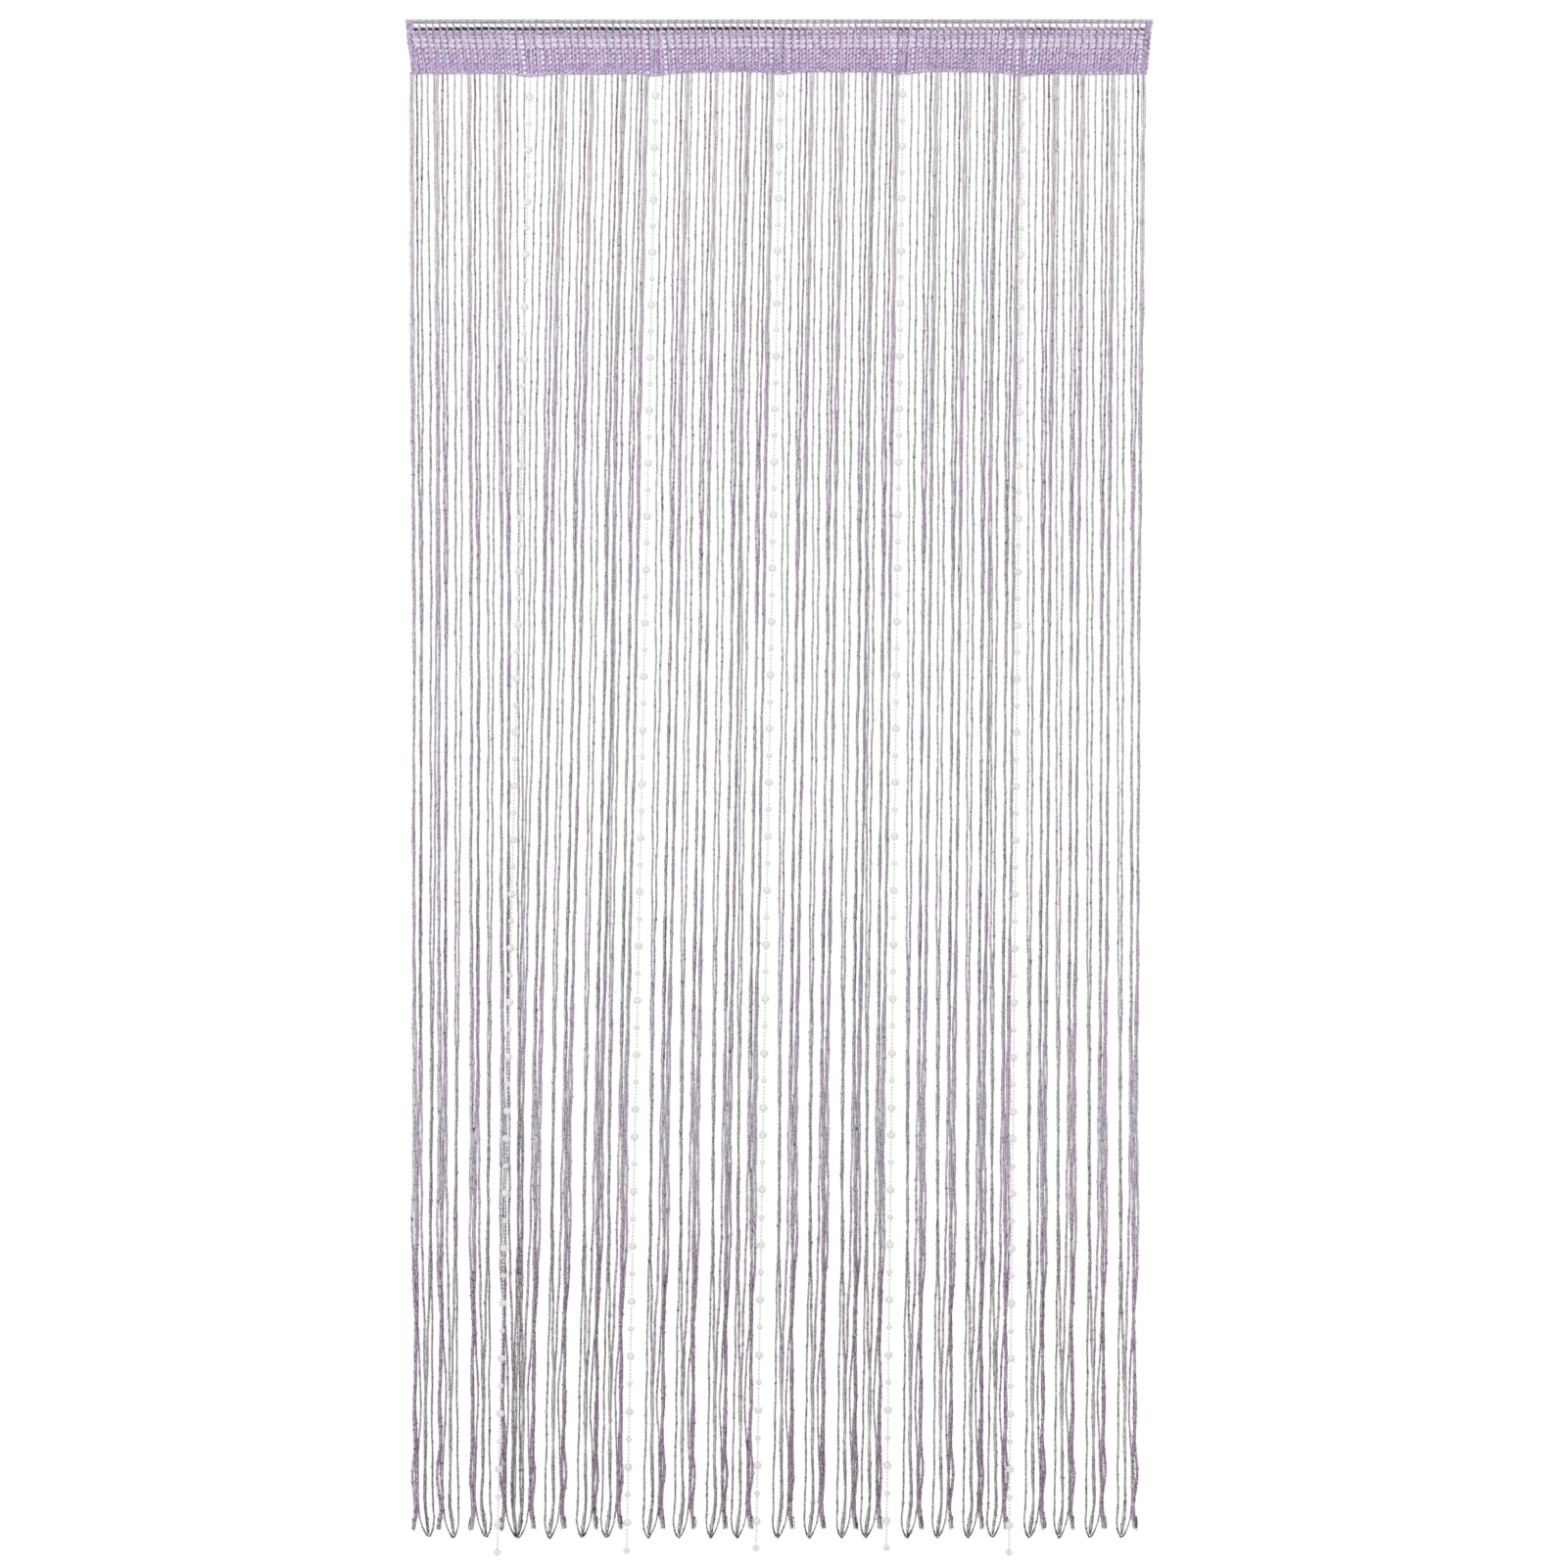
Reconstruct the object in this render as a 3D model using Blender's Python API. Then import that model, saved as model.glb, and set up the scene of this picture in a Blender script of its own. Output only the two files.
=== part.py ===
"""Bead curtain: a net header with a rod pocket, a fringe of looped tinsel strings and five
strings of clear beads.

Metres, +Z up. The origin is the middle of the header's top edge. The curtain is seen from -Y,
its width runs along X and it hangs down along -Z. "Drop" is the distance below the top edge.
"""
import math

import bmesh
import bpy

MM = 0.001

# Header: one knitted net band with a single-layer heading, a rod pocket and a dense lower band.
HEADER_TOP_WIDTH = 1000 * MM
HEADER_DEPTH = 69.5 * MM
END_SLANT = 8 * MM              # how far each end draws in from the top edge to the bottom edge
HEADER_STATIONS = 25            # sections along the width, to follow the wavy lower edge
TIE_DIP = 3.4 * MM              # how far the lower edge is pulled down where a bead string is tied
TIE_DIP_WIDTH = 20 * MM
PULL_FALLOFF = 3                # how fast the ties' pull dies away up the header, as a power

# The slow waves of the lower edge.
EDGE_WAVES = (
    # reach, wavelength, a place where the edge hangs low
    (1.6 * MM, 0.85, -0.35),
    (0.6 * MM, 0.31, 0.08),
)

# One row for each height of the header's section: the drop, half the depth of the outside, and
# half the gap inside the pocket (0 above and below it).
HEADER_SECTION = (
    # drop, outside, pocket
    (0.0, 0.7, 0.0),
    (13.0, 0.7, 0.0),
    (17.0, 2.1, 0.3),
    (25.0, 4.7, 3.5),
    (33.0, 4.9, 3.7),
    (41.0, 3.8, 2.6),
    (47.5, 1.7, 0.3),
    (69.5, 1.2, 0.0),
)
POCKET_OVERRUN = 1.02           # the pocket's cutter passes both ends of the header

# The heading's open meshes, the one row that light passes through.
MESH_COLUMNS = 106
MESH_WIDTH = 6.6 * MM
MESH_HEIGHT = 4.6 * MM
MESH_DROP = 7.0 * MM            # middle of the row
SELVEDGE = 9 * MM               # dense net at each end, without open meshes
CUT_DEPTH = 10 * MM             # of the cutter, more than the heading's thickness

# Dark thread sewn along the top of the pocket.
SEAM_DROP = 13.0 * MM
SEAM_RADIUS = 0.9 * MM
SEAM_WAVE = 0.7 * MM
SEAM_WAVE_LENGTH = 0.127
SEAM_POINTS = 32

# Backing strip: the knitted edge that the strings grow from.
JOIN_GAP = 0.3 * MM             # between pieces that touch
STRIP_DEPTH = 2.6 * MM
STRIP_HALF_THICKNESS = 1.5 * MM

# Strings.
STRING_RADIUS = 1.1 * MM
FRONT_LAYER = -3.0 * MM         # where the foremost string of a group hangs
LAYER_PITCH = 2.6 * MM          # each string of a group hangs in a layer of its own
ROOT_SPREAD = 31.8 * MM         # from a group's line to its last root
ROOT_CLEARANCE = 5.2 * MM       # kept free beside the next group's line
STRINGS = ("A", "B", "C", "D", "E", "F")    # A and B end in the tuft, C-F and D-E are loops

# One row for each section of four groups: the side on which its strings lie from their tuft
# (+1 to the right, -1 to the left), then where its tufts hang.
SECTIONS = (
    # side, first, second, third, fourth tuft
    (+1, -487.7, -454.3, -411.1, -370.6),
    (-1, -328.0, -286.9, -243.8, -211.1),
    (-1, -154.9, -114.4, -71.2, -37.3),
    (-1, 17.6, 59.5, 102.6, 135.3),
    (-1, 190.2, 230.7, 271.2, 303.9),
    (-1, 353.6, 392.8, 434.6, 476.5),
)

# How far a group's line lies from its tuft at the roots. The first section hangs nearly plumb,
# and the others lean to the left on the way down, less and less towards the right end.
PLUMB_LEAN = -1.3 * MM
MIDDLE_LEAN = 25.2 * MM
LEAN_FALL = 0.035               # what the lean loses for each unit of x

# One row for each height of a group: the drop, the share of the lean left, then how far each
# string lies from the group's line. The first row is the roots, whose drop follows the strip.
STRING_PATHS = (
    # drop, lean, A, B, C, D, E, F
    (71.1, 1.02, -2.7, 0.0, 6.2, 13.2, 22.3, 31.8),
    (497.0, 0.76, -1.7, 0.9, 7.1, 12.2, 22.9, 31.4),
    (823.0, 0.67, 0.6, 2.2, 10.2, 11.4, 23.4, 30.1),
    (1150.0, 0.435, 0.0, 1.2, 8.9, 10.2, 22.6, 27.7),
    (1484.0, 0.245, 0.5, 3.8, 7.2, 10.5, 22.6, 24.1),
    (1650.0, 0.165, -0.7, 3.3, 5.0, 11.4, 21.1, 23.1),
    (1732.0, 0.115, 2.6, 3.8, 5.0, 13.5, 19.2, 24.0),
    (1850.0, 0.045, 0.8, 2.4, 9.4, 14.9, 16.2, 24.0),
    (1987.0, -0.005, 2.2, 4.0, 6.2, 14.2, 15.4, 25.2),
)
ROOT_ROW = STRING_PATHS[0]
TUFT_DROP = 2015 * MM
TUFT_ENDS = {"A": -0.9 * MM, "B": 1.3 * MM}

# The bottoms of the loops: the drop, the distance from the tuft's line, and how far the point
# lies from the loop's first string (0) to its last (1) in depth.
OUTER_LOOP = (
    # drop, along, share
    (2010.0, 10.5, 0.15),
    (2022.0, 16.0, 0.35),
    (2026.5, 19.6, 0.5),
    (2021.0, 23.0, 0.65),
    (2006.0, 26.1, 0.9),
)
INNER_LOOP = (
    # drop, along, share
    (2009.0, 16.6, 0.0),
    (2022.5, 19.4, 0.5),
    (2009.0, 18.6, 1.0),
)

# Bead strings, one row each: where it is tied, where it ends, and the drop of its first large
# bead and of its end bead.
BEAD_STRINGS = (
    # top, bottom, first bead, end bead
    (-331.9, -375.8, 104.6, 2044.5),
    (-164.1, -203.3, 102.0, 2042.0),
    (2.0, -30.7, 100.0, 2038.5),
    (165.4, 143.1, 100.0, 2038.0),
    (324.8, 306.5, 105.2, 2044.5),
)
# Where the large beads sit, in pitches below the first: two of them follow each other by half a
# pitch three quarters of the way down, and from there on the large beads sit halfway.
LARGE_BEAD_STEPS = (*range(20), *(bead - 0.5 for bead in range(20, 28)))
BEAD_PITCH = 69.5 * MM          # large bead to large bead at the top
BEAD_STRETCH = 0.087 * MM       # what each pitch gains on the one above
LARGE_BEAD_RADIUS = 4.8 * MM
END_BEAD_RADIUS = 4.4 * MM
BEAD_THREAD_RADIUS = 1.0 * MM
KNOT_RADIUS = 1.6 * MM
KNOT_DROP = 69 * MM
KNOT_FRONT = -3.1 * MM          # the knot sits just in front of the lower band
BEAD_TOP_FRONT = -6.6 * MM      # beads clear the strings at the first large bead
BEAD_FRONT = -9.5 * MM          # and farther down, where the foremost strings are
BEAD_SPREAD_DROP = STRING_PATHS[1][0] * MM

COLOURS = {
    # base colour, roughness, metallic
    "net": ((0.47, 0.36, 0.62, 1), 0.75, 0.0),
    "seam": ((0.03, 0.02, 0.05, 1), 0.6, 0.0),
    "yarn": ((0.34, 0.24, 0.42, 1), 0.4, 0.3),
    "bead": ((0.88, 0.89, 0.91, 1), 0.1, 0.0),
}


def clear_scene():
    for item in list(bpy.data.objects):
        bpy.data.objects.remove(item, do_unlink=True)


def make_collection(name):
    collection = bpy.data.collections.new(name)
    bpy.context.scene.collection.children.link(collection)
    return collection


def make_material(name):
    colour, roughness, metallic = COLOURS[name]
    material = bpy.data.materials.new(name)
    material.use_nodes = True
    shader = material.node_tree.nodes["Principled BSDF"]
    shader.inputs["Base Color"].default_value = colour
    shader.inputs["Roughness"].default_value = roughness
    shader.inputs["Metallic"].default_value = metallic
    material.diffuse_color = colour
    return material


def object_from_bmesh(name, shape, collection, material=None):
    bmesh.ops.recalc_face_normals(shape, faces=shape.faces)
    mesh = bpy.data.meshes.new(name)
    shape.to_mesh(mesh)
    shape.free()
    if material:
        mesh.materials.append(material)
    item = bpy.data.objects.new(name, mesh)
    collection.objects.link(item)
    return item


def lower_edge_dip(x):
    """How far the header's lower edge hangs below its plain line at x."""
    slow = sum(reach * math.cos(2 * math.pi * (x - low) / wave) for reach, wave, low in EDGE_WAVES)
    ties = sum(math.exp(-((x - row[0] * MM) / TIE_DIP_WIDTH) ** 2) for row in BEAD_STRINGS)
    return slow + TIE_DIP * ties


def hung_drop(x, drop):
    """The drop to which a level of the header sinks at x, where the ties pull on it."""
    return drop + lower_edge_dip(x) * (drop / HEADER_DEPTH) ** PULL_FALLOFF


def header_point(x_share, drop, y):
    """A point of the header: x_share runs from -1 to 1, and the ends slant in with the drop."""
    half_width = HEADER_TOP_WIDTH / 2 - END_SLANT * drop / HEADER_DEPTH
    x = x_share * half_width
    return (x, y, -hung_drop(x, drop))


def sweep_section(name, section, reach, collection, material=None):
    """A closed section of (drop, y) points, swept along the header's width."""
    shape = bmesh.new()
    rings = []
    for index in range(HEADER_STATIONS):
        x_share = reach * (2 * index / (HEADER_STATIONS - 1) - 1)
        rings.append([shape.verts.new(header_point(x_share, drop, y)) for drop, y in section])
    for ring, following in zip(rings, rings[1:]):
        for corner in range(len(section)):
            after = (corner + 1) % len(section)
            shape.faces.new((ring[corner], ring[after], following[after], following[corner]))
    shape.faces.new(rings[0])
    shape.faces.new(rings[-1])
    return object_from_bmesh(name, shape, collection, material)


def mirrored_section(rows):
    """The rows' points down the front, then up the back."""
    front = [(drop * MM, -half * MM) for drop, half in rows]
    back = [(drop, -y) for drop, y in reversed(front)]
    return front + back


def cut(target, cutter):
    boolean = target.modifiers.new("cut " + cutter.name, "BOOLEAN")
    boolean.operation = "DIFFERENCE"
    boolean.object = cutter
    cutter.hide_render = True
    cutter.display_type = "WIRE"


def make_mesh_cutter(cutters):
    """One box for each open mesh of the heading."""
    shape = bmesh.new()
    span = HEADER_TOP_WIDTH - 2 * SELVEDGE - 2 * END_SLANT * MESH_DROP / HEADER_DEPTH
    pitch = span / MESH_COLUMNS
    for column in range(MESH_COLUMNS):
        middle = (column - (MESH_COLUMNS - 1) / 2) * pitch
        box = bmesh.ops.create_cube(shape, size=1)["verts"]
        bmesh.ops.scale(shape, vec=(MESH_WIDTH, CUT_DEPTH, MESH_HEIGHT), verts=box)
        bmesh.ops.translate(shape, vec=(middle, 0, -MESH_DROP), verts=box)
    return object_from_bmesh("open_meshes", shape, cutters)


def make_header(parts, cutters):
    outside = mirrored_section([(drop, half) for drop, half, pocket in HEADER_SECTION])
    header = sweep_section("header_net", outside, 1.0, parts, make_material("net"))

    hollow = mirrored_section([(drop, pocket) for drop, half, pocket in HEADER_SECTION if pocket])
    cut(header, sweep_section("rod_pocket", hollow, POCKET_OVERRUN, cutters))
    cut(header, make_mesh_cutter(cutters))


def curve_object(name, routes, radius, collection, material, profile=None):
    """A tube along each route of (x, y, z, thickness) points, thickness being a factor."""
    curve = bpy.data.curves.new(name, "CURVE")
    curve.dimensions = "3D"
    curve.bevel_resolution = 0
    curve.use_fill_caps = True
    if profile:
        curve.bevel_mode = "OBJECT"
        curve.bevel_object = profile
    else:
        curve.bevel_depth = radius
    for route in routes:
        spline = curve.splines.new("POLY")
        spline.points.add(len(route) - 1)
        for point, (x, y, z, thickness) in zip(spline.points, route):
            point.co = (x, y, z, 1)
            point.radius = thickness
    if material:
        curve.materials.append(material)
    item = bpy.data.objects.new(name, curve)
    collection.objects.link(item)
    return item


def make_seam_thread(parts):
    half_width = HEADER_TOP_WIDTH / 2 - END_SLANT * SEAM_DROP / HEADER_DEPTH - SELVEDGE
    front = -(HEADER_SECTION[1][1] * MM + JOIN_GAP + SEAM_RADIUS)
    route = []
    for index in range(SEAM_POINTS):
        x = half_width * (2 * index / (SEAM_POINTS - 1) - 1)
        wave = SEAM_WAVE * math.sin(2 * math.pi * x / SEAM_WAVE_LENGTH)
        route.append((x, front, -SEAM_DROP + wave, 1))
    curve_object("seam_thread", [route], SEAM_RADIUS, parts, make_material("seam"))


def string_depth(letter, side):
    """The depth at which a string hangs: A is foremost where the strings lie to the right."""
    layer = STRINGS.index(letter)
    if side < 0:
        layer = len(STRINGS) - 1 - layer
    return FRONT_LAYER + LAYER_PITCH * layer


def top_lean(tuft, side):
    return PLUMB_LEAN if side > 0 else MIDDLE_LEAN - LEAN_FALL * tuft


def root_x(tuft, side, letter, root_scale):
    along = ROOT_ROW[STRINGS.index(letter) + 2] * MM
    if along > 0:
        along *= root_scale
    return tuft + ROOT_ROW[1] * top_lean(tuft, side) + side * along


def string_leg(tuft, side, letter, root_scale):
    """The points of one hanging string, from its root down to the last row of the table."""
    x = root_x(tuft, side, letter, root_scale)
    drop = hung_drop(x, HEADER_DEPTH + JOIN_GAP + STRIP_DEPTH / 2)
    leg = [(x, 0, -drop, 1)]
    for drop, lean, *offsets in STRING_PATHS[1:]:
        x = tuft + lean * top_lean(tuft, side) + side * offsets[STRINGS.index(letter)] * MM
        leg.append((x, string_depth(letter, side), -drop * MM, 1))
    return leg


def loop_route(tuft, side, first, last, bottom, root_scale):
    """Down one string, round the bottom of the loop and up the other."""
    down = string_leg(tuft, side, first, root_scale)
    up = string_leg(tuft, side, last, root_scale)
    near, far = string_depth(first, side), string_depth(last, side)
    turn = [
        (tuft + side * along * MM, near + share * (far - near), -drop * MM, 1)
        for drop, along, share in bottom
    ]
    return down + turn + up[::-1]


def tuft_route(tuft, side, letter, root_scale):
    end = (tuft + side * TUFT_ENDS[letter], string_depth(letter, side), -TUFT_DROP, 1)
    return string_leg(tuft, side, letter, root_scale) + [end]


def fringe_routes():
    """Every string's route. Where the next group is near, a group's roots stand closer."""
    groups = sorted((tuft * MM, side) for side, *tufts in SECTIONS for tuft in tufts)
    lines = [tuft + ROOT_ROW[1] * top_lean(tuft, side) for tuft, side in groups]
    routes = []
    for index, (tuft, side) in enumerate(groups):
        beside = index + side
        room = ROOT_SPREAD + ROOT_CLEARANCE
        if 0 <= beside < len(groups) and groups[beside][1] == side:
            room = min(room, abs(lines[beside] - lines[index]))
        root_scale = (room - ROOT_CLEARANCE) / ROOT_SPREAD
        routes.append(tuft_route(tuft, side, "A", root_scale))
        routes.append(tuft_route(tuft, side, "B", root_scale))
        routes.append(loop_route(tuft, side, "C", "F", OUTER_LOOP, root_scale))
        routes.append(loop_route(tuft, side, "D", "E", INNER_LOOP, root_scale))
    return routes


def make_three_sided_profile(cutters):
    profile = bpy.data.curves.new("string_profile", "CURVE")
    spline = profile.splines.new("POLY")
    spline.points.add(2)
    for corner, point in enumerate(spline.points):
        angle = 2 * math.pi * corner / 3
        point.co = (STRING_RADIUS * math.cos(angle), STRING_RADIUS * math.sin(angle), 0, 1)
    spline.use_cyclic_u = True
    item = bpy.data.objects.new("string_profile", profile)
    item.hide_render = True
    item.display_type = "WIRE"
    cutters.objects.link(item)
    return item


def mesh_from_curve(item, cutters):
    """The curve's tubes as one mesh object with welded caps."""
    evaluated = item.evaluated_get(bpy.context.evaluated_depsgraph_get())
    mesh = bpy.data.meshes.new_from_object(evaluated)
    shape = bmesh.new()
    shape.from_mesh(mesh)
    bmesh.ops.remove_doubles(shape, verts=shape.verts, dist=0.01 * MM)
    bpy.data.meshes.remove(mesh)
    tubes = object_from_bmesh(item.name + "_mesh", shape, cutters)
    tubes.matrix_world = item.matrix_world
    tubes.hide_render = True
    tubes.display_type = "WIRE"
    bpy.data.objects.remove(item, do_unlink=True)
    return tubes


def make_fringe(parts, cutters):
    """The backing strip with every string joined to it."""
    yarn = make_material("yarn")
    top = HEADER_DEPTH + JOIN_GAP
    half = STRIP_HALF_THICKNESS
    section = [(top, -half), (top + STRIP_DEPTH, -half), (top + STRIP_DEPTH, half), (top, half)]
    strip = sweep_section("string_fringe", section, 1.0, parts, yarn)

    profile = make_three_sided_profile(cutters)
    strings = curve_object("strings", fringe_routes(), STRING_RADIUS, parts, None, profile)
    bpy.context.view_layer.update()
    join = strip.modifiers.new("join strings", "BOOLEAN")
    join.operation = "UNION"
    join.object = mesh_from_curve(strings, cutters)


def bead_string_route(top, bottom, first_bead, end_bead):
    """The thread's points with a swelling for the knot, each large bead and the end bead."""
    def along(drop):
        return (top + (bottom - top) * (drop - KNOT_DROP) / (end_bead - KNOT_DROP))

    def depth(drop):
        if drop < first_bead:
            share = (drop - KNOT_DROP) / (first_bead - KNOT_DROP)
            return KNOT_FRONT + share * (BEAD_TOP_FRONT - KNOT_FRONT)
        share = min(1, (drop - first_bead) / (BEAD_SPREAD_DROP - first_bead))
        return BEAD_TOP_FRONT + share * (BEAD_FRONT - BEAD_TOP_FRONT)

    swellings = [(KNOT_DROP, KNOT_RADIUS)]
    for step in LARGE_BEAD_STEPS:
        drop = first_bead + BEAD_PITCH * step + BEAD_STRETCH * step * step
        swellings.append((drop, LARGE_BEAD_RADIUS))
    swellings.append((end_bead, END_BEAD_RADIUS))

    route = []
    for drop, radius in swellings:
        for height, thickness in ((-radius, BEAD_THREAD_RADIUS), (0, radius),
                                  (radius, BEAD_THREAD_RADIUS)):
            level = drop + height
            route.append((along(level), depth(level), -level, thickness / BEAD_THREAD_RADIUS))
    return route


def make_bead_strings(parts):
    material = make_material("bead")
    for number, row in enumerate(BEAD_STRINGS, start=1):
        route = bead_string_route(*(value * MM for value in row))
        curve_object(f"bead_string_{number}", [route], BEAD_THREAD_RADIUS, parts, material)


def main():
    clear_scene()
    parts = make_collection("bead_curtain")
    cutters = make_collection("cutters")
    make_header(parts, cutters)
    make_seam_thread(parts)
    make_fringe(parts, cutters)
    make_bead_strings(parts)


main()
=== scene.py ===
# %% [markdown]
# # Dressing a bead curtain
# The frame holds the curtain's plain solids: a net header, a dark seam thread, a fringe of strings
# and five bead strings. This lesson gives each of them the look of the real thing. A doorway
# curtain like this one is nothing but yarn and beads, so nearly everything here is a thread: it is
# drawn as a bare line first, and one set of geometry nodes then spins each line into a tube.

import math
import random

import bpy
import numpy as np
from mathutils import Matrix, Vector


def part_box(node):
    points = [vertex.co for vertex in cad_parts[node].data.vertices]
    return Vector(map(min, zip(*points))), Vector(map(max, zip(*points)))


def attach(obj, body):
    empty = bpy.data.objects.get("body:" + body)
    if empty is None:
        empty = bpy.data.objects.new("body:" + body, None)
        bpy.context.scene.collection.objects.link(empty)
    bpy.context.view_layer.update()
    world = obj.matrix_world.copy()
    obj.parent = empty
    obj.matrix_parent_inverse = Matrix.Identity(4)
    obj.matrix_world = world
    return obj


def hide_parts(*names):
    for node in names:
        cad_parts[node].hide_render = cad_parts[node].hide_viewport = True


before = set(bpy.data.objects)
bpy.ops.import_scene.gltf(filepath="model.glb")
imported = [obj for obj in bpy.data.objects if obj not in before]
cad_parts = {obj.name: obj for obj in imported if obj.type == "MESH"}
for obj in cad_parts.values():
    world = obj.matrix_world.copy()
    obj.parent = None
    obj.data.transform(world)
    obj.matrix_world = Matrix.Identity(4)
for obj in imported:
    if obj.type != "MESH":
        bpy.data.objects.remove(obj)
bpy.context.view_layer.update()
MM = 0.001
print("nodes:", sorted(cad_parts))

# %% [markdown]
# ## Sums instead of wires
# Both materials and geometry nodes are graphs of small steps. Wiring them one by one hides what
# they work out, so a small class wraps a socket. `1 - spots * 0.5` then adds two Math nodes, and
# `node` adds any other node, with its settings first and its sockets after them.

# %% A class for shader sums
class Flow:
    """One output of a node in a tree, which can be added to, multiplied and passed on."""

    def __init__(self, tree, socket=None):
        self.tree = tree
        self.socket = socket

    def node(self, kind, settings=None, sockets=None, output=0):
        added = self.tree.nodes.new(kind)
        for name, value in (settings or {}).items():
            setattr(added, name, value)
        for name, value in (sockets or {}).items():
            if isinstance(value, Flow):
                self.tree.links.new(value.socket, added.inputs[name])
            else:
                added.inputs[name].default_value = value
        return Flow(self.tree, added.outputs[output] if len(added.outputs) else None)

    def math(self, operation, first, second=0.0):
        return self.node("ShaderNodeMath", {"operation": operation}, {0: first, 1: second})

    def __add__(self, other):
        return self.math("ADD", self, other)

    def __sub__(self, other):
        return self.math("SUBTRACT", self, other)

    def __rsub__(self, other):
        return self.math("SUBTRACT", other, self)

    def __mul__(self, other):
        return self.math("MULTIPLY", self, other)

    def __gt__(self, other):
        return self.math("GREATER_THAN", self, other)

    __radd__ = __add__

    def blend(self, first, second):
        """The first colour where this value is 0 and the second where it is 1."""
        sockets = {0: self, 6: first, 7: second}
        return self.node("ShaderNodeMix", {"data_type": "RGBA"}, sockets, output=2)

    def rise(self, low, high):
        """0 where this value is below low, 1 above high, and a smooth rise between them."""
        settings = {"interpolation_type": "SMOOTHSTEP"}
        return self.node("ShaderNodeMapRange", settings, {0: self, 1: low, 2: high})


# %% [markdown]
# ## Working by hand, in code
# An operator works on whatever is selected, and loading the frame leaves its nodes selected. So
# each step first picks the pieces it is meant for.

# %% Helpers for picking and finishing pieces
def pick(*pieces):
    """Leave Edit Mode and select only these pieces, the first one active."""
    if bpy.context.object and bpy.context.object.mode != "OBJECT":
        bpy.ops.object.mode_set(mode="OBJECT")
    bpy.ops.object.select_all(action="DESELECT")
    for piece in pieces:
        piece.select_set(True)
    if pieces:
        bpy.context.view_layer.objects.active = pieces[0]


def add_modifier(piece, kind, **settings):
    """Add a modifier with its settings and apply it at once."""
    pick(piece)
    bpy.ops.object.modifier_add(type=kind)
    modifier = piece.modifiers[-1]
    for name, value in settings.items():
        setattr(modifier, name, value)
    bpy.ops.object.modifier_apply(modifier=modifier.name)


def join(name, pieces):
    pick(*pieces)
    bpy.ops.object.join()
    pieces[0].name = name
    pieces[0].data.name = name
    return pieces[0]


def positions(piece):
    """The piece's points as an array with a row of x, y and z for each."""
    values = np.zeros(len(piece.data.vertices) * 3)
    piece.data.vertices.foreach_get("co", values)
    return values.reshape(-1, 3)


def move_points(piece, places):
    piece.data.vertices.foreach_set("co", places.ravel())
    piece.data.update()


def paint(piece, name, values):
    """Store one number for each point under a name that nodes and materials can read."""
    attribute = piece.data.attributes.get(name) or piece.data.attributes.new(name, "FLOAT", "POINT")
    attribute.data.foreach_set("value", np.broadcast_to(values, len(piece.data.vertices)).astype(float))


def triangles(piece):
    piece.data.calc_loop_triangles()
    return len(piece.data.loop_triangles)


# %% [markdown]
# ## Spinning yarn
# A thread could be a curve with a bevel, but then every point of every thread would need its own
# curve point. Geometry nodes do it for a whole piece at once: they read bare edges, give each
# chain of edges a section of three or four sides, as thick as the `radius` stored at its points,
# turn it by `twist`, and close both ends. What else is stored at the points stays on them. A
# section of few sides looks thinner than the circle through its corners, so it is drawn larger.

# %% The yarn spinner
def make_spinner(name, sides, size=1.0, flatness=1.0):
    """Geometry nodes that turn bare edges into closed tubes, round or flattened."""
    group = bpy.data.node_groups.new(name, "GeometryNodeTree")
    group.interface.new_socket("Lines", in_out="INPUT", socket_type="NodeSocketGeometry")
    group.interface.new_socket("Yarn", in_out="OUTPUT", socket_type="NodeSocketGeometry")
    flow = Flow(group)
    lines = flow.node("NodeGroupInput")
    kind = "GeometryNodeInputNamedAttribute"
    radius = flow.node(kind, {"data_type": "FLOAT"}, {"Name": "radius"})
    twist = flow.node(kind, {"data_type": "FLOAT"}, {"Name": "twist"})
    chains = flow.node("GeometryNodeMeshToCurve", {}, {"Mesh": lines})
    chains = flow.node("GeometryNodeSetCurveTilt", {}, {"Curve": chains, "Tilt": twist})
    ring = flow.node("GeometryNodeCurvePrimitiveCircle", {}, {"Resolution": sides, "Radius": size})
    ring = flow.node("GeometryNodeTransform", {}, {"Geometry": ring, "Scale": (1, flatness, 1)})
    sockets = {"Curve": chains, "Profile Curve": ring, "Scale": radius, "Fill Caps": True}
    tubes = flow.node("GeometryNodeCurveToMesh", {}, sockets)
    tubes = flow.node("GeometryNodeSetShadeSmooth", {}, {"Geometry": tubes})
    flow.node("NodeGroupOutput", {}, {"Yarn": tubes})
    return group


NET_YARN = make_spinner("net_yarn", 3, size=1.35)
ROUND_YARN = make_spinner("round_yarn", 4, size=1.2)
TINSEL = make_spinner("tinsel", 3, size=1.08, flatness=0.9)


def spin(piece, spinner):
    add_modifier(piece, "NODES", node_group=spinner)
    return piece


def draw_routes(name, routes):
    """One piece of bare edges: each route is a dict of its points and of what is stored there."""
    points = np.concatenate([route["points"] for route in routes])
    counts = [len(route["points"]) for route in routes]
    starts = np.cumsum([0] + counts[:-1])
    edges = [(start + k, start + k + 1) for start, n in zip(starts, counts) for k in range(n - 1)]
    mesh = bpy.data.meshes.new(name)
    mesh.from_pydata(points.tolist(), edges, [])
    piece = bpy.data.objects.new(name, mesh)
    bpy.context.scene.collection.objects.link(piece)
    for key in routes[0]:
        if key != "points":
            values = [np.broadcast_to(route[key], len(route["points"])) for route in routes]
            paint(piece, key, np.concatenate(values))
    return piece


print("spinners:", NET_YARN.name, ROUND_YARN.name, TINSEL.name)

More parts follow.
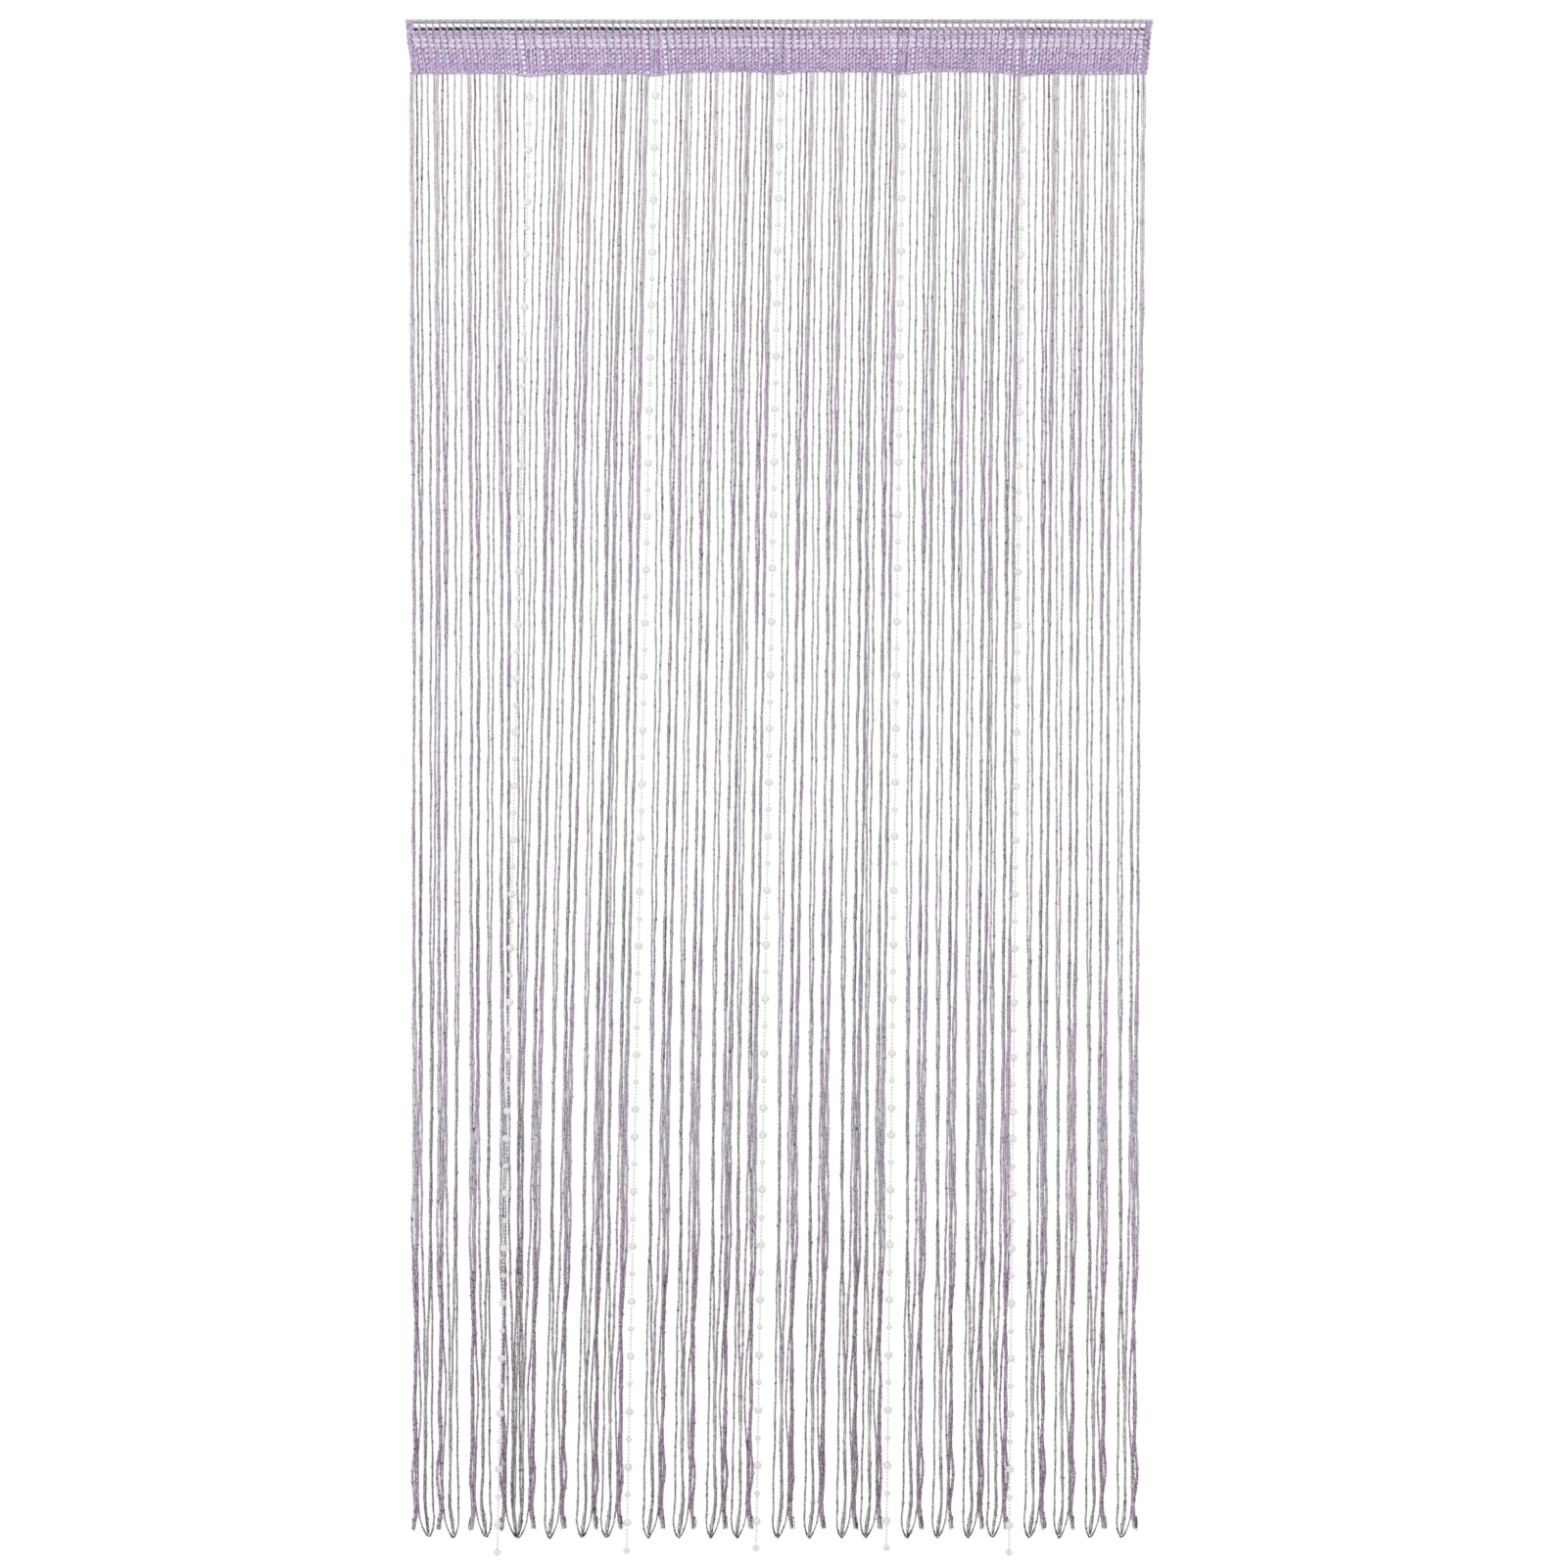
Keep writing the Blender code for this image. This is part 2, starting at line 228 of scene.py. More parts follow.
# %% [markdown]
# ## The header's shape
# The header is one knitted net band, 1 m wide and 70 mm deep. Its heading is a single layer, and
# below a dark seam a second layer behind it makes a flat pocket for the rod. The bead strings are
# tied to its lower edge and pull it down a little. The solids were made from these same rules, so
# the net follows them.

# %% The header's rules
HEADER_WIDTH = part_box("header_net")[1].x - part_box("header_net")[0].x
HEADER_DEPTH = 69.5 * MM
END_SLANT = 8 * MM              # how far each end draws in from the top edge to the bottom edge
TIE_DIP = 3.4 * MM              # how far the lower edge is pulled down where a bead string is tied
TIE_DIP_WIDTH = 20 * MM
PULL_FALLOFF = 3                # how fast the ties' pull dies away up the header, as a power
TIES = (-331.9, -164.1, 2.0, 165.4, 324.8)      # where the bead strings are tied, in mm

# The slow waves of the lower edge.
EDGE_WAVES = (
    # reach, wavelength, a place where the edge hangs low
    (1.6 * MM, 0.85, -0.35),
    (0.6 * MM, 0.31, 0.08),
)

# The header's section: the drop below the top edge, and half the depth of the outside.
SECTION_DROPS = np.array((0, 13, 17, 25, 33, 41, 47.5, 69.5)) * MM
SECTION_HALVES = np.array((0.7, 0.7, 2.1, 4.7, 4.9, 3.8, 1.7, 1.2)) * MM


def lower_edge_dip(x):
    """How far the header's lower edge hangs below its plain line at x."""
    slow = sum(reach * np.cos(2 * np.pi * (x - low) / wave) for reach, wave, low in EDGE_WAVES)
    return slow + TIE_DIP * sum(np.exp(-((x - tie * MM) / TIE_DIP_WIDTH) ** 2) for tie in TIES)


def hung_drop(x, drop):
    """The drop to which a level of the header sinks at x, where the ties pull on it."""
    return drop + lower_edge_dip(x) * (drop / HEADER_DEPTH) ** PULL_FALLOFF


def half_width(drop):
    return HEADER_WIDTH / 2 - END_SLANT * drop / HEADER_DEPTH


def half_depth(drop):
    return np.interp(drop, SECTION_DROPS, SECTION_HALVES)


print("header width in mm:", round(HEADER_WIDTH / MM, 1))

# %% [markdown]
# ## One stitch of the net
# On a warp-knitting machine, each upright row of the net is a chain of loops, and the threads that
# run across are laid from chain to chain. So the net is a single stitch, repeated: a dark ply and
# a pale one side by side, and cross threads that slant down to the right and jump back up where
# the next chain holds them. The stitch is drawn as with the extrude key, point by point. A net
# could also be a flat sheet with holes painted by a material, but then light would not pass
# through it at its real thickness, and its edges would be flat from the side.

# %% Draw one stitch
COLUMNS = 106
PITCH = 9.27                    # from chain to chain, in mm
ROW = 6.8                       # the height of a stitch as it is drawn, in mm
HALF_ROW = ROW / 2
FINE_MESHES = 6                 # the veil's own meshes in one pitch
FINE = PITCH / FINE_MESHES

# The threads of each kind of stitch, point by point: how far to the right, back and down of its
# chain's top the point lies, the thread's radius there, all in mm, and its tone, from 0 for pale
# to 1 for deep, or more where the thread stays deep. A tone of -2 marks the veil's fine yarn.
STITCHES = {
    # right, back, down, radius, tone
    "heading": (
        ((-0.5, 0.0, 0.0, 0.9, 0.6), (-0.1, -0.2, HALF_ROW, 0.8, 0.4), (-0.5, 0.0, ROW, 0.9, 0.6)),
        ((0.9, 0.3, 0.0, 0.9, 0.3), (0.7, 0.1, HALF_ROW, 0.8, 0.1), (0.9, 0.3, ROW, 0.9, 0.3)),
        ((0.0, 0.5, 0.0, 0.8, 0.8), (1.8, 0.3, -0.1, 0.7, 0.7), (7.2, 0.3, 0.5, 0.6, 0.7),
         (PITCH, 0.5, 0.0, 0.8, 0.8)),
    ),
    "loop": (
        ((0.0, -0.8, 5.5, 0.45, 1.0), (2.2, -1.0, 2.0, 0.5, 0.5), (4.6, -1.0, 0.4, 0.5, 0.3),
         (7.0, -1.0, 2.0, 0.5, 0.5), (PITCH, -0.8, 5.5, 0.45, 1.0)),
    ),
    "net": (
        ((-1.1, 0.0, 0.0, 0.9, 0.2), (-0.8, -0.3, HALF_ROW, 1.1, 1.6), (-1.1, 0.0, ROW, 0.9, 0.2)),
        ((0.9, -0.3, 0.0, 1.0, 0.4), (0.8, -0.1, HALF_ROW, 1.2, 0.1), (0.9, -0.3, ROW, 1.0, 0.4)),
        ((0.0, 0.5, -0.3, 0.9, 0.2), (2.3, 0.3, -0.4, 0.9, 0.4), (7.0, 0.3, 1.3, 0.8, 0.8),
         (PITCH, 0.5, -0.3, 0.9, 0.2)),
        ((0.0, 0.8, 0.5, 0.7, 0.2), (2.4, 0.6, 0.5, 0.7, 0.2), (6.8, 0.6, 2.1, 0.7, 0.3),
         (PITCH, 0.8, 0.5, 0.7, 0.2)),
    ),
    "veil": (
        *(((mesh * FINE, 0.0, 0.0, 0.2, -2.0), ((mesh + 1) * FINE, 0.0, ROW, 0.2, -2.0))
          for mesh in range(FINE_MESHES)),
        ((0.0, 0.3, 3.6, 0.2, -2.0), (PITCH, 0.3, 2.2, 0.2, -2.0)),
    ),
    "band": (
        ((-0.9, 0.0, 0.0, 0.5, 0.6), (-0.7, 0.0, HALF_ROW, 0.9, 1.7), (-0.9, 0.0, ROW, 0.5, 0.6)),
        ((0.7, 0.2, 0.0, 1.0, 0.6), (0.6, 0.2, HALF_ROW, 1.0, 0.2), (0.7, 0.2, ROW, 1.0, 0.6)),
        ((0.0, 0.7, 0.0, 0.7, 0.4), (1.0, 0.7, 0.0, 0.7, 0.4), (PITCH - 1.0, 0.7, 1.5, 0.7, 0.4),
         (PITCH, 0.7, 0.0, 0.7, 0.4)),
    ),
    "hem": (
        ((0.0, 0.0, 0.0, 0.7, 0.2), (1.0, 0.0, HALF_ROW, 1.0, 0.9), (0.0, 0.0, ROW, 0.7, 0.2)),
        ((-1.0, 0.5, 1.6, 0.8, 0.2), (PITCH - 1.0, 0.5, 4.4, 0.8, 0.9)),
    ),
}


def draw_thread(name, points):
    """A bare chain of edges, drawn by extruding one corner from point to point."""
    places = [Vector((right, back, -down)) * MM for right, back, down, radius, tone in points]
    pick()
    bpy.ops.mesh.primitive_plane_add(size=1 * MM)
    thread = bpy.context.object
    thread.name = name
    bpy.ops.object.mode_set(mode="EDIT")
    bpy.ops.mesh.select_mode(type="VERT")
    bpy.ops.mesh.merge(type="CENTER")
    bpy.ops.transform.translate(value=places[0])
    for start, end in zip(places, places[1:]):
        bpy.ops.mesh.extrude_vertices_move(TRANSFORM_OT_translate={"value": end - start})
    bpy.ops.object.mode_set(mode="OBJECT")
    paint(thread, "radius", [point[3] * MM for point in points])
    paint(thread, "tone", [point[4] for point in points])
    return thread


def draw_stitch(kind):
    """The threads of one stitch, hanging from z = 0, with its chain at x = 0."""
    return join("stitch", [draw_thread(kind, points) for points in STITCHES[kind]])


stitch = draw_stitch("net")
print("edges in one stitch:", len(stitch.data.edges))
bpy.data.objects.remove(stitch)

# %% [markdown]
# ## Knitting the band
# Two Array modifiers repeat the stitch across and down, and merge the ends, so each chain becomes
# one long thread. The flat net is then laid on the header's section. Its rows are not even: a
# close row of loops makes the top edge, and the seam runs through the third row, the tallest.
# Knitted net is never quite regular, so slow waves shift the rows and columns, and the veil and
# the hems have waves of their own. The veil is the pocket's fine back, so the front shows pale
# holes. At the seam starts the narrow turned-in end of the cloth, and further down two more layers
# lie between the chains and close the holes.

# %% Knit a layer of net
# Where the cross threads of each row lie, in mm below the top edge.
ROW_DROPS = np.array((0.8, 4.4, 10.0, 17.4, 24.4, 31.2, 38.0, 44.6, 51.2, 57.4, 63.4, 69.2)) * MM
SELVEDGE = 9 * MM
DRIFT_WAVES = (0.21, 0.093, 0.047, 0.021)       # wavelengths in metres
FULL_TURN = 6.28                # in radians, for random phases


def row_drop(places):
    """The drops of a flat net's points, once its even rows lie where the header's rows do."""
    return np.interp(-places[:, 2] / (ROW * MM), np.arange(len(ROW_DROPS)), ROW_DROPS)


def drift(x, drop, seed, size):
    """A slow uneven shift over the header."""
    random.seed(seed)
    total = 0
    for wave in DRIFT_WAVES:
        phase, tilt = random.uniform(0, FULL_TURN), random.uniform(-2, 2)
        total = total + math.sqrt(wave) * np.sin(2 * np.pi * (x + tilt * drop) / wave + phase)
    return total * size


GATHER = 0.6                    # how strongly a tie draws the chains beside it together
GATHER_WIDTH = 10 * MM


def gather(x):
    """How far the ties draw a chain at x towards them."""
    reaches = [(x - tie * MM) * np.exp(-((x - tie * MM) / GATHER_WIDTH) ** 2) for tie in TIES]
    return -GATHER * sum(reaches)


def repeat(stitch, columns, rows):
    """Repeat a stitch across and down, each thread joined to the next."""
    for count, offset in ((columns, (PITCH * MM, 0, 0)), (rows, (0, 0, -ROW * MM))):
        add_modifier(stitch, "ARRAY", count=count, use_relative_offset=False,
                     use_constant_offset=True, constant_offset_displace=offset,
                     use_merge_vertices=True, merge_threshold=0.01 * MM)


def knit(kind, first_row, last_row):
    """A flat net of stitches, from one row of cross threads to another."""
    net = draw_stitch(kind)
    repeat(net, COLUMNS, last_row - first_row)
    places = positions(net)
    places[:, 2] -= first_row * ROW * MM
    move_points(net, places)
    net.name = kind
    return net


COLUMN_DRIFT = 1.6 * MM
ROW_DRIFT = 1.0 * MM
FREE_DROP = 20 * MM             # from here down the columns drift freely
TOP_MARGIN = 0.7 * MM           # the net's threads keep this far from the header's edges
BOTTOM_MARGIN = 0.4 * MM
FRONT_SEED = 3
VEIL_SEED = 8
HEM_SEED = 12


def lay_on_header(net, side, seed, shift=(0, 0), depth=0.6 * MM):
    """Bend a flat net onto the front (-1) or the back (+1) of the header."""
    places = positions(net)
    share = places[:, 0] / (COLUMNS * PITCH * MM) * 2 - 1
    drop = row_drop(places)
    x = share * (half_width(drop) - SELVEDGE)
    fade = np.clip(drop / FREE_DROP, 0, 1)
    x = x + (drift(x, drop, seed, COLUMN_DRIFT) + gather(x)) * fade + shift[0]
    drop = drop + drift(x, drop, seed + 1, ROW_DRIFT) * fade + shift[1]
    drop = np.clip(drop, TOP_MARGIN, HEADER_DEPTH - BOTTOM_MARGIN)
    y = side * (half_depth(drop) - depth) + places[:, 1]
    move_points(net, np.stack((x, y, -hung_drop(x, drop)), axis=1))
    return net


layers = [
    lay_on_header(knit("heading", 0, 2), -1, FRONT_SEED),
    lay_on_header(knit("loop", 0, 1), -1, FRONT_SEED),
    lay_on_header(knit("net", 2, 11), -1, FRONT_SEED),
    lay_on_header(knit("veil", 2, 10), 1, VEIL_SEED),
    lay_on_header(knit("hem", 2, 4), -1, HEM_SEED, shift=(1.0 * MM, 0), depth=1.8 * MM),
    lay_on_header(knit("band", 6, 11), -1, FRONT_SEED, shift=(2.8 * MM, 0), depth=1.4 * MM),
    lay_on_header(knit("hem", 9, 11), -1, HEM_SEED, shift=(3.0 * MM, 0), depth=1.8 * MM),
]
print("edges:", {layer.name: len(layer.data.edges) for layer in layers})

# %% [markdown]
# ## Selvedges and edge cords
# At both ends the chains stand close together and make a firm edge. Five chains with the same
# stitches do this, squeezed into the last 9 mm. A thick thread is knitted in along the top edge and
# a thin one along the bottom edge. Each is one line, with a small wave for the loops that hold it.

# %% Knit the selvedges and the edge cords
SELVEDGE_CHAINS = 5
END_MARGIN = 0.8 * MM           # between the last chain and the header's end
SELVEDGE_SEED = 20
SELVEDGE_DRIFT = 1.0 * MM
SELVEDGE_RATE = 3               # how much faster the drift changes down a selvedge
SELVEDGE_BOW = 3                # in radians, the arc in which a selvedge bows forward


def knit_selvedge(end):
    """Close chains between the last open column and the end of the header."""
    edge = draw_stitch("net")
    repeat(edge, SELVEDGE_CHAINS, len(ROW_DROPS) - 1)
    places = positions(edge)
    share = places[:, 0] / (SELVEDGE_CHAINS * PITCH * MM)
    drop = row_drop(places)
    inner = half_width(drop) - SELVEDGE
    x = end * (inner + share * (SELVEDGE - END_MARGIN))
    x = x + drift(x, drop * SELVEDGE_RATE, SELVEDGE_SEED + end, SELVEDGE_DRIFT)
    y = places[:, 1] - half_depth(drop) * np.sin(share * SELVEDGE_BOW)
    move_points(edge, np.stack((x, y, -hung_drop(x, drop)), axis=1))
    return edge


def edge_cord(drop, radius, wave, tone):
    """A thread along the whole header at one drop, with a small wave for each column."""
    x = np.linspace(-1, 1, COLUMNS * 4 + 1) * (half_width(drop) - 1 * MM)
    turn = 2 * np.pi * x / (PITCH * MM)
    points = np.stack((x, 0.3 * MM * np.cos(turn), -hung_drop(x, drop + wave * np.sin(turn))), axis=1)
    return draw_routes("edge_cord", [{"points": points, "radius": radius, "tone": tone}])


UNEVENNESS = {"radius": 0.06 * MM, "tone": 0.25}        # how far the net's points stray

threads = layers + [knit_selvedge(-1), knit_selvedge(1)]
threads.append(edge_cord(drop=2.3 * MM, radius=1.35 * MM, wave=0.25 * MM, tone=0.05))
threads.append(edge_cord(drop=HEADER_DEPTH - 0.6 * MM, radius=0.6 * MM, wave=0.7 * MM, tone=0.5))
net = join("net_header", threads)
dice = random.Random(5)
for name, spread in UNEVENNESS.items():
    values = np.zeros(len(net.data.vertices))
    net.data.attributes[name].data.foreach_get("value", values)
    paint(net, name, values + [dice.uniform(-spread, spread) for value in values])
paint(net, "twist", 0.0)
spin(net, NET_YARN)
print("net header triangles:", triangles(net))

# %% [markdown]
# ## The net's yarn
# The yarn is lilac polyester with a weak metallic gleam: grey along the heading, and pink in some
# places and blue-violet in others below it. A pale and a deep colour are worked out from slow
# noises in the object's own space. The tone painted on each thread, broken up by a fine noise,
# then mixes the two. The veil's fine yarn is one clear violet, which tints the light in the holes.

# %% Helpers for materials
def new_material(name):
    """A material and its Principled shader, with a Flow to build on."""
    material = bpy.data.materials.new(name)
    material.use_nodes = True
    shader = material.node_tree.nodes["Principled BSDF"]
    return material, shader, Flow(material.node_tree)


def feed(shader, **sockets):
    """Fill the shader's sockets, given as words with _ for a space."""
    for name, value in sockets.items():
        socket = shader.inputs[name.replace("_", " ")]
        if isinstance(value, Flow):
            value.tree.links.new(value.socket, socket)
        else:
            socket.default_value = value


def paint_colour(red, green, blue):
    """A screen colour (0 to 255) as the linear colour that a shader takes."""
    linear = [((v / 255 + 0.055) / 1.055) ** 2.4 if v > 10 else v / 255 / 12.92
              for v in (red, green, blue)]
    return (*linear, 1.0)


def cloud(flow, scale, detail=2.0, stretch=(1, 1, 1), offset=(0, 0, 0)):
    """A noise of object space from 0 to 1. The scale is in waves a metre."""
    place = flow.node("ShaderNodeTexCoord", output=3)
    place = flow.node("ShaderNodeMapping", {}, {"Vector": place, "Location": offset, "Scale": stretch})
    sockets = {"Vector": place, "Scale": scale, "Detail": detail, "Roughness": 0.6}
    return flow.node("ShaderNodeTexNoise", {}, sockets)


def coordinate(flow, axis):
    """The place in object space along x (0), y (1) or z (2), in metres."""
    place = flow.node("ShaderNodeTexCoord", output=3)
    return flow.node("ShaderNodeSeparateXYZ", {}, {0: place}, output=axis)


def stored(flow, name):
    """A value that was painted on the piece's points."""
    return flow.node("ShaderNodeAttribute", {"attribute_name": name}, output=2)


def bump(flow, strength, distance, height):
    sockets = {"Strength": strength, "Distance": distance, "Height": height}
    return flow.node("ShaderNodeBump", {}, sockets)


# %% The net's material
# The net's pale and deep colours, from the grey heading to the dyed yarn below it.
NET_COLOURS = {
    # pale, deep
    "grey": ((218, 209, 224), (116, 106, 124)),
    "lilac": ((230, 212, 242), (128, 108, 144)),
    "pink": ((238, 206, 238), (148, 106, 152)),
    "violet": ((222, 210, 244), (122, 108, 154)),
}
BAND_COLOUR = (190, 142, 212)
VEIL_COLOUR = (228, 200, 252)
SELVEDGE_START = (0.485, 0.489)         # metres from the middle, where the open net ends
DYE_START = (0.010, 0.022)      # drops between which the grey heading turns lilac
BAND_START = (0.040, 0.064)     # drops between which the band's colour comes in


def net_material():
    material, shader, flow = new_material("net_yarn")
    drop = coordinate(flow, 2) * -1
    inner = 1 - flow.math("ABSOLUTE", coordinate(flow, 0)).rise(*SELVEDGE_START)
    dyed = 1 - (1 - drop.rise(*DYE_START)) * inner
    pink = cloud(flow, 30, stretch=(3, 1, 1), offset=(0, 0, 5)).rise(0.46, 0.66) * dyed * inner * 0.6
    violet = cloud(flow, 45, stretch=(2, 1, 1), offset=(7, 0, 0)).rise(0.46, 0.66) * dyed * inner * 0.6
    shades = []
    for level in (0, 1):
        grey, lilac, rose, blue = (paint_colour(*pair[level]) for pair in NET_COLOURS.values())
        shades.append(violet.blend(pink.blend(dyed.blend(grey, lilac), rose), blue))
    fleck = cloud(flow, 270, 1.0)
    mottle = (fleck - 0.5) * (2.1 - inner * 1.1)
    tone = stored(flow, "tone") + mottle + (1 - inner) * 0.1
    colour = tone.rise(0.0, 1.0).blend(*shades)
    colour = (drop.rise(*BAND_START) * 0.15).blend(colour, paint_colour(*BAND_COLOUR))
    colour = (stored(flow, "tone") > -1.0).blend(paint_colour(*VEIL_COLOUR), colour)
    feed(shader, Base_Color=colour, Roughness=0.7 - fleck * 0.25, Sheen_Weight=0.15,
         Normal=bump(flow, 0.35, 0.3 * MM, cloud(flow, 900, 1.0)))
    return material


net.data.materials.clear()
net.data.materials.append(net_material())

# %% [markdown]
# ## The seam thread
# The pocket is closed along its top by one line of dark stitches. The thread passes behind each
# chain of the net and comes forward in the hole between, so from the front it reads as a row of
# dashes. It isn't straight, nor evenly thick: pulled tight it almost vanishes on the right.

# %% Sew the seam
# One row for each place along the header: x in metres, the seam's drop and its radius in mm.
SEAM_ROWS = np.array((
    (-0.50, 14.0, 1.1), (-0.45, 12.8, 1.7), (-0.39, 12.0, 1.9), (-0.33, 13.0, 1.5),
    (-0.25, 12.0, 1.8), (-0.15, 12.9, 1.6), (-0.07, 11.8, 1.7), (0.0, 12.0, 1.3),
    (0.02, 12.8, 0.9), (0.04, 13.3, 0.3), (0.10, 13.6, 0.15), (0.16, 12.8, 0.7),
    (0.21, 12.9, 0.2), (0.27, 13.6, 0.15), (0.31, 13.6, 0.5), (0.35, 12.8, 0.8),
    (0.38, 13.0, 0.5), (0.40, 13.2, 0.15), (0.45, 13.6, 0.2), (0.47, 13.6, 0.8),
    (0.50, 13.6, 0.7),
))
# Where the thread's points lie between one chain and the next, how far back, and how thick it is
# there, as a share of the seam's radius.
DASH_SHARES = np.array((0.0, 0.2, 0.26, 0.5, 0.76, 0.81))
DASH_DEPTHS = np.array((1.4, 1.2, -1.3, -1.6, -1.3, 1.2)) * MM
DASH_RADII = np.array((0.25, 0.3, 0.85, 1.1, 0.95, 0.3))
DASH_SLANT = 1.6 * MM


def sew_seam():
    """One thread that passes behind each chain of the net and shows in every hole."""
    column = (np.arange(COLUMNS)[:, None] + DASH_SHARES).ravel()
    plain_x = (column / COLUMNS * 2 - 1) * (half_width(SEAM_ROWS[0, 1] * MM) - SELVEDGE)
    places, drops, radii = SEAM_ROWS.T
    drop = np.interp(plain_x, places, drops) * MM
    x = plain_x + drift(plain_x, drop, FRONT_SEED, COLUMN_DRIFT) * drop / FREE_DROP
    y = np.tile(DASH_DEPTHS, COLUMNS)
    slant = DASH_SLANT * (np.tile(DASH_SHARES, COLUMNS) - 0.5)
    radius = np.interp(plain_x, places, radii) * np.tile(DASH_RADII, COLUMNS) * MM
    points = np.stack((x, y, -drop - slant), axis=1)
    seam = draw_routes("seam_stitches", [{"points": points, "radius": radius, "twist": 0.0}])
    return spin(seam, ROUND_YARN)


def seam_material():
    material, shader, flow = new_material("seam_thread")
    fibre = cloud(flow, 700, 1.0, stretch=(0.3, 1, 1))
    colour = fibre.rise(0.4, 0.8).blend(paint_colour(22, 14, 34), paint_colour(58, 44, 76))
    feed(shader, Base_Color=colour, Roughness=0.5 + fibre * 0.2,
         Normal=bump(flow, 0.4, 0.2 * MM, fibre))
    return material


seam = sew_seam()
seam.data.materials.append(seam_material())
print("seam triangles:", triangles(seam))

# %% [markdown]
# ## The strings
# The fringe is 24 groups of six strings. Two strings of each group (A and B) end in a cut tuft. The
# others are the legs of two loops, C with F outside and D with E inside. All groups hang in the
# same way, some mirrored, and nearly all of them lean to the left on the way down. The tables are
# the same as the solids', with two more rows where a strand bulges out of the tuft, and the strings
# run smoothly through their points.

# %% Where the strings hang
STRINGS = "ABCDEF"
FRONT_LAYER = -3.0 * MM         # where the foremost string of a group hangs
LAYER_PITCH = 2.6 * MM          # each string of a group hangs in a layer of its own
ROOT_SPREAD = 31.8 * MM         # from a group's line to its last root
ROOT_CLEARANCE = 5.2 * MM       # kept free beside the next group's line
ROOT_DROP = 71.1 * MM           # the middle of the knitted edge that the strings grow from

# One row for each section of four groups: the side on which its strings lie from their tuft
# (+1 to the right, -1 to the left), then where its tufts hang.
SECTIONS = (
    # side, first, second, third, fourth tuft
    (+1, -487.7, -454.3, -411.1, -370.6),
    (-1, -328.0, -286.9, -243.8, -211.1),
    (-1, -154.9, -114.4, -71.2, -37.3),
    (-1, 17.6, 59.5, 102.6, 135.3),
    (-1, 190.2, 230.7, 271.2, 303.9),
    (-1, 353.6, 392.8, 434.6, 476.5),
)
PLUMB_LEAN = -1.3 * MM
MIDDLE_LEAN = 25.2 * MM
LEAN_FALL = 0.035               # what the lean loses for each unit of x

# One row for each height of a group: the drop, the share of the lean left, then how far each
# string lies from the group's line, in mm.
STRING_PATHS = (
    # drop, lean, A, B, C, D, E, F
    (71.1, 1.02, -2.7, 0.0, 6.2, 13.2, 22.3, 31.8),
    (497.0, 0.76, -1.7, 0.9, 7.1, 12.2, 22.9, 31.4),
    (823.0, 0.67, 0.6, 2.2, 10.2, 11.4, 23.4, 30.1),
    (1150.0, 0.435, 0.0, 1.2, 8.9, 10.2, 22.6, 27.7),
    (1484.0, 0.245, 0.5, 3.8, 7.2, 10.5, 22.6, 24.1),
    (1650.0, 0.165, -0.7, 3.3, 5.0, 11.4, 21.1, 23.1),
    (1732.0, 0.115, 2.6, 3.8, 5.0, 13.5, 19.2, 24.0),
    (1850.0, 0.045, 0.8, 2.4, 9.4, 14.9, 16.2, 24.0),
    (1905.0, 0.025, 1.2, 3.6, 6.8, 14.7, 15.9, 24.4),
    (1940.0, 0.012, -1.0, 3.8, 5.6, 14.5, 15.6, 24.8),
    (1987.0, -0.005, 2.2, 4.0, 6.2, 14.2, 15.4, 25.2),
)
TUFT_DROP = 2015.0
TUFT_ENDS = {"A": -0.9, "B": 1.3}
OUTER_LOOP = ((2010.0, 10.5, 0.15), (2022.0, 16.0, 0.35), (2026.5, 19.6, 0.5),
              (2021.0, 23.0, 0.65), (2006.0, 26.1, 0.9))
INNER_LOOP = ((2009.0, 16.6, 0.0), (2022.5, 19.4, 0.5), (2009.0, 18.6, 1.0))


def layer_depth(letter, side):
    layer = STRINGS.index(letter)
    if side < 0:
        layer = len(STRINGS) - 1 - layer
    return FRONT_LAYER + LAYER_PITCH * layer


def top_lean(tuft, side):
    return PLUMB_LEAN if side > 0 else MIDDLE_LEAN - LEAN_FALL * tuft


def leg(tuft, side, letter, root_scale):
    """The points of one hanging string, from its root down to the last row of the table."""
    points = []
    for row, (drop, lean, *offsets) in enumerate(STRING_PATHS):
        along = offsets[STRINGS.index(letter)] * MM
        if row == 0 and along > 0:
            along *= root_scale
        x = tuft + lean * top_lean(tuft, side) + side * along
        if row == 0:
            points.append((x, 0.0, -hung_drop(x, ROOT_DROP)))
        else:
            points.append((x, layer_depth(letter, side), -drop * MM))
    return points


def tuft_route(tuft, side, letter, root_scale):
    end = (tuft + side * TUFT_ENDS[letter] * MM, layer_depth(letter, side), -TUFT_DROP * MM)
    return leg(tuft, side, letter, root_scale) + [end]


def loop_route(tuft, side, first, last, bottom, root_scale):
    """Down one string, round the bottom of the loop and up the other."""
    near, far = layer_depth(first, side), layer_depth(last, side)
    turn = [(tuft + side * along * MM, near + share * (far - near), -drop * MM)
            for drop, along, share in bottom]
    up = leg(tuft, side, last, root_scale)[::-1]
    return leg(tuft, side, first, root_scale) + turn + up


def all_groups():
    """Each group from left to right: its tuft, its side and how close its roots stand."""
    groups = sorted((tuft * MM, side) for side, *tufts in SECTIONS for tuft in tufts)
    lines = [tuft + STRING_PATHS[0][1] * top_lean(tuft, side) for tuft, side in groups]
    found = []
    for index, (tuft, side) in enumerate(groups):
        beside = index + side
        room = ROOT_SPREAD + ROOT_CLEARANCE
        if 0 <= beside < len(groups) and groups[beside][1] == side:
            room = min(room, abs(lines[beside] - lines[index]))
        found.append((tuft, side, (room - ROOT_CLEARANCE) / ROOT_SPREAD))
    return found


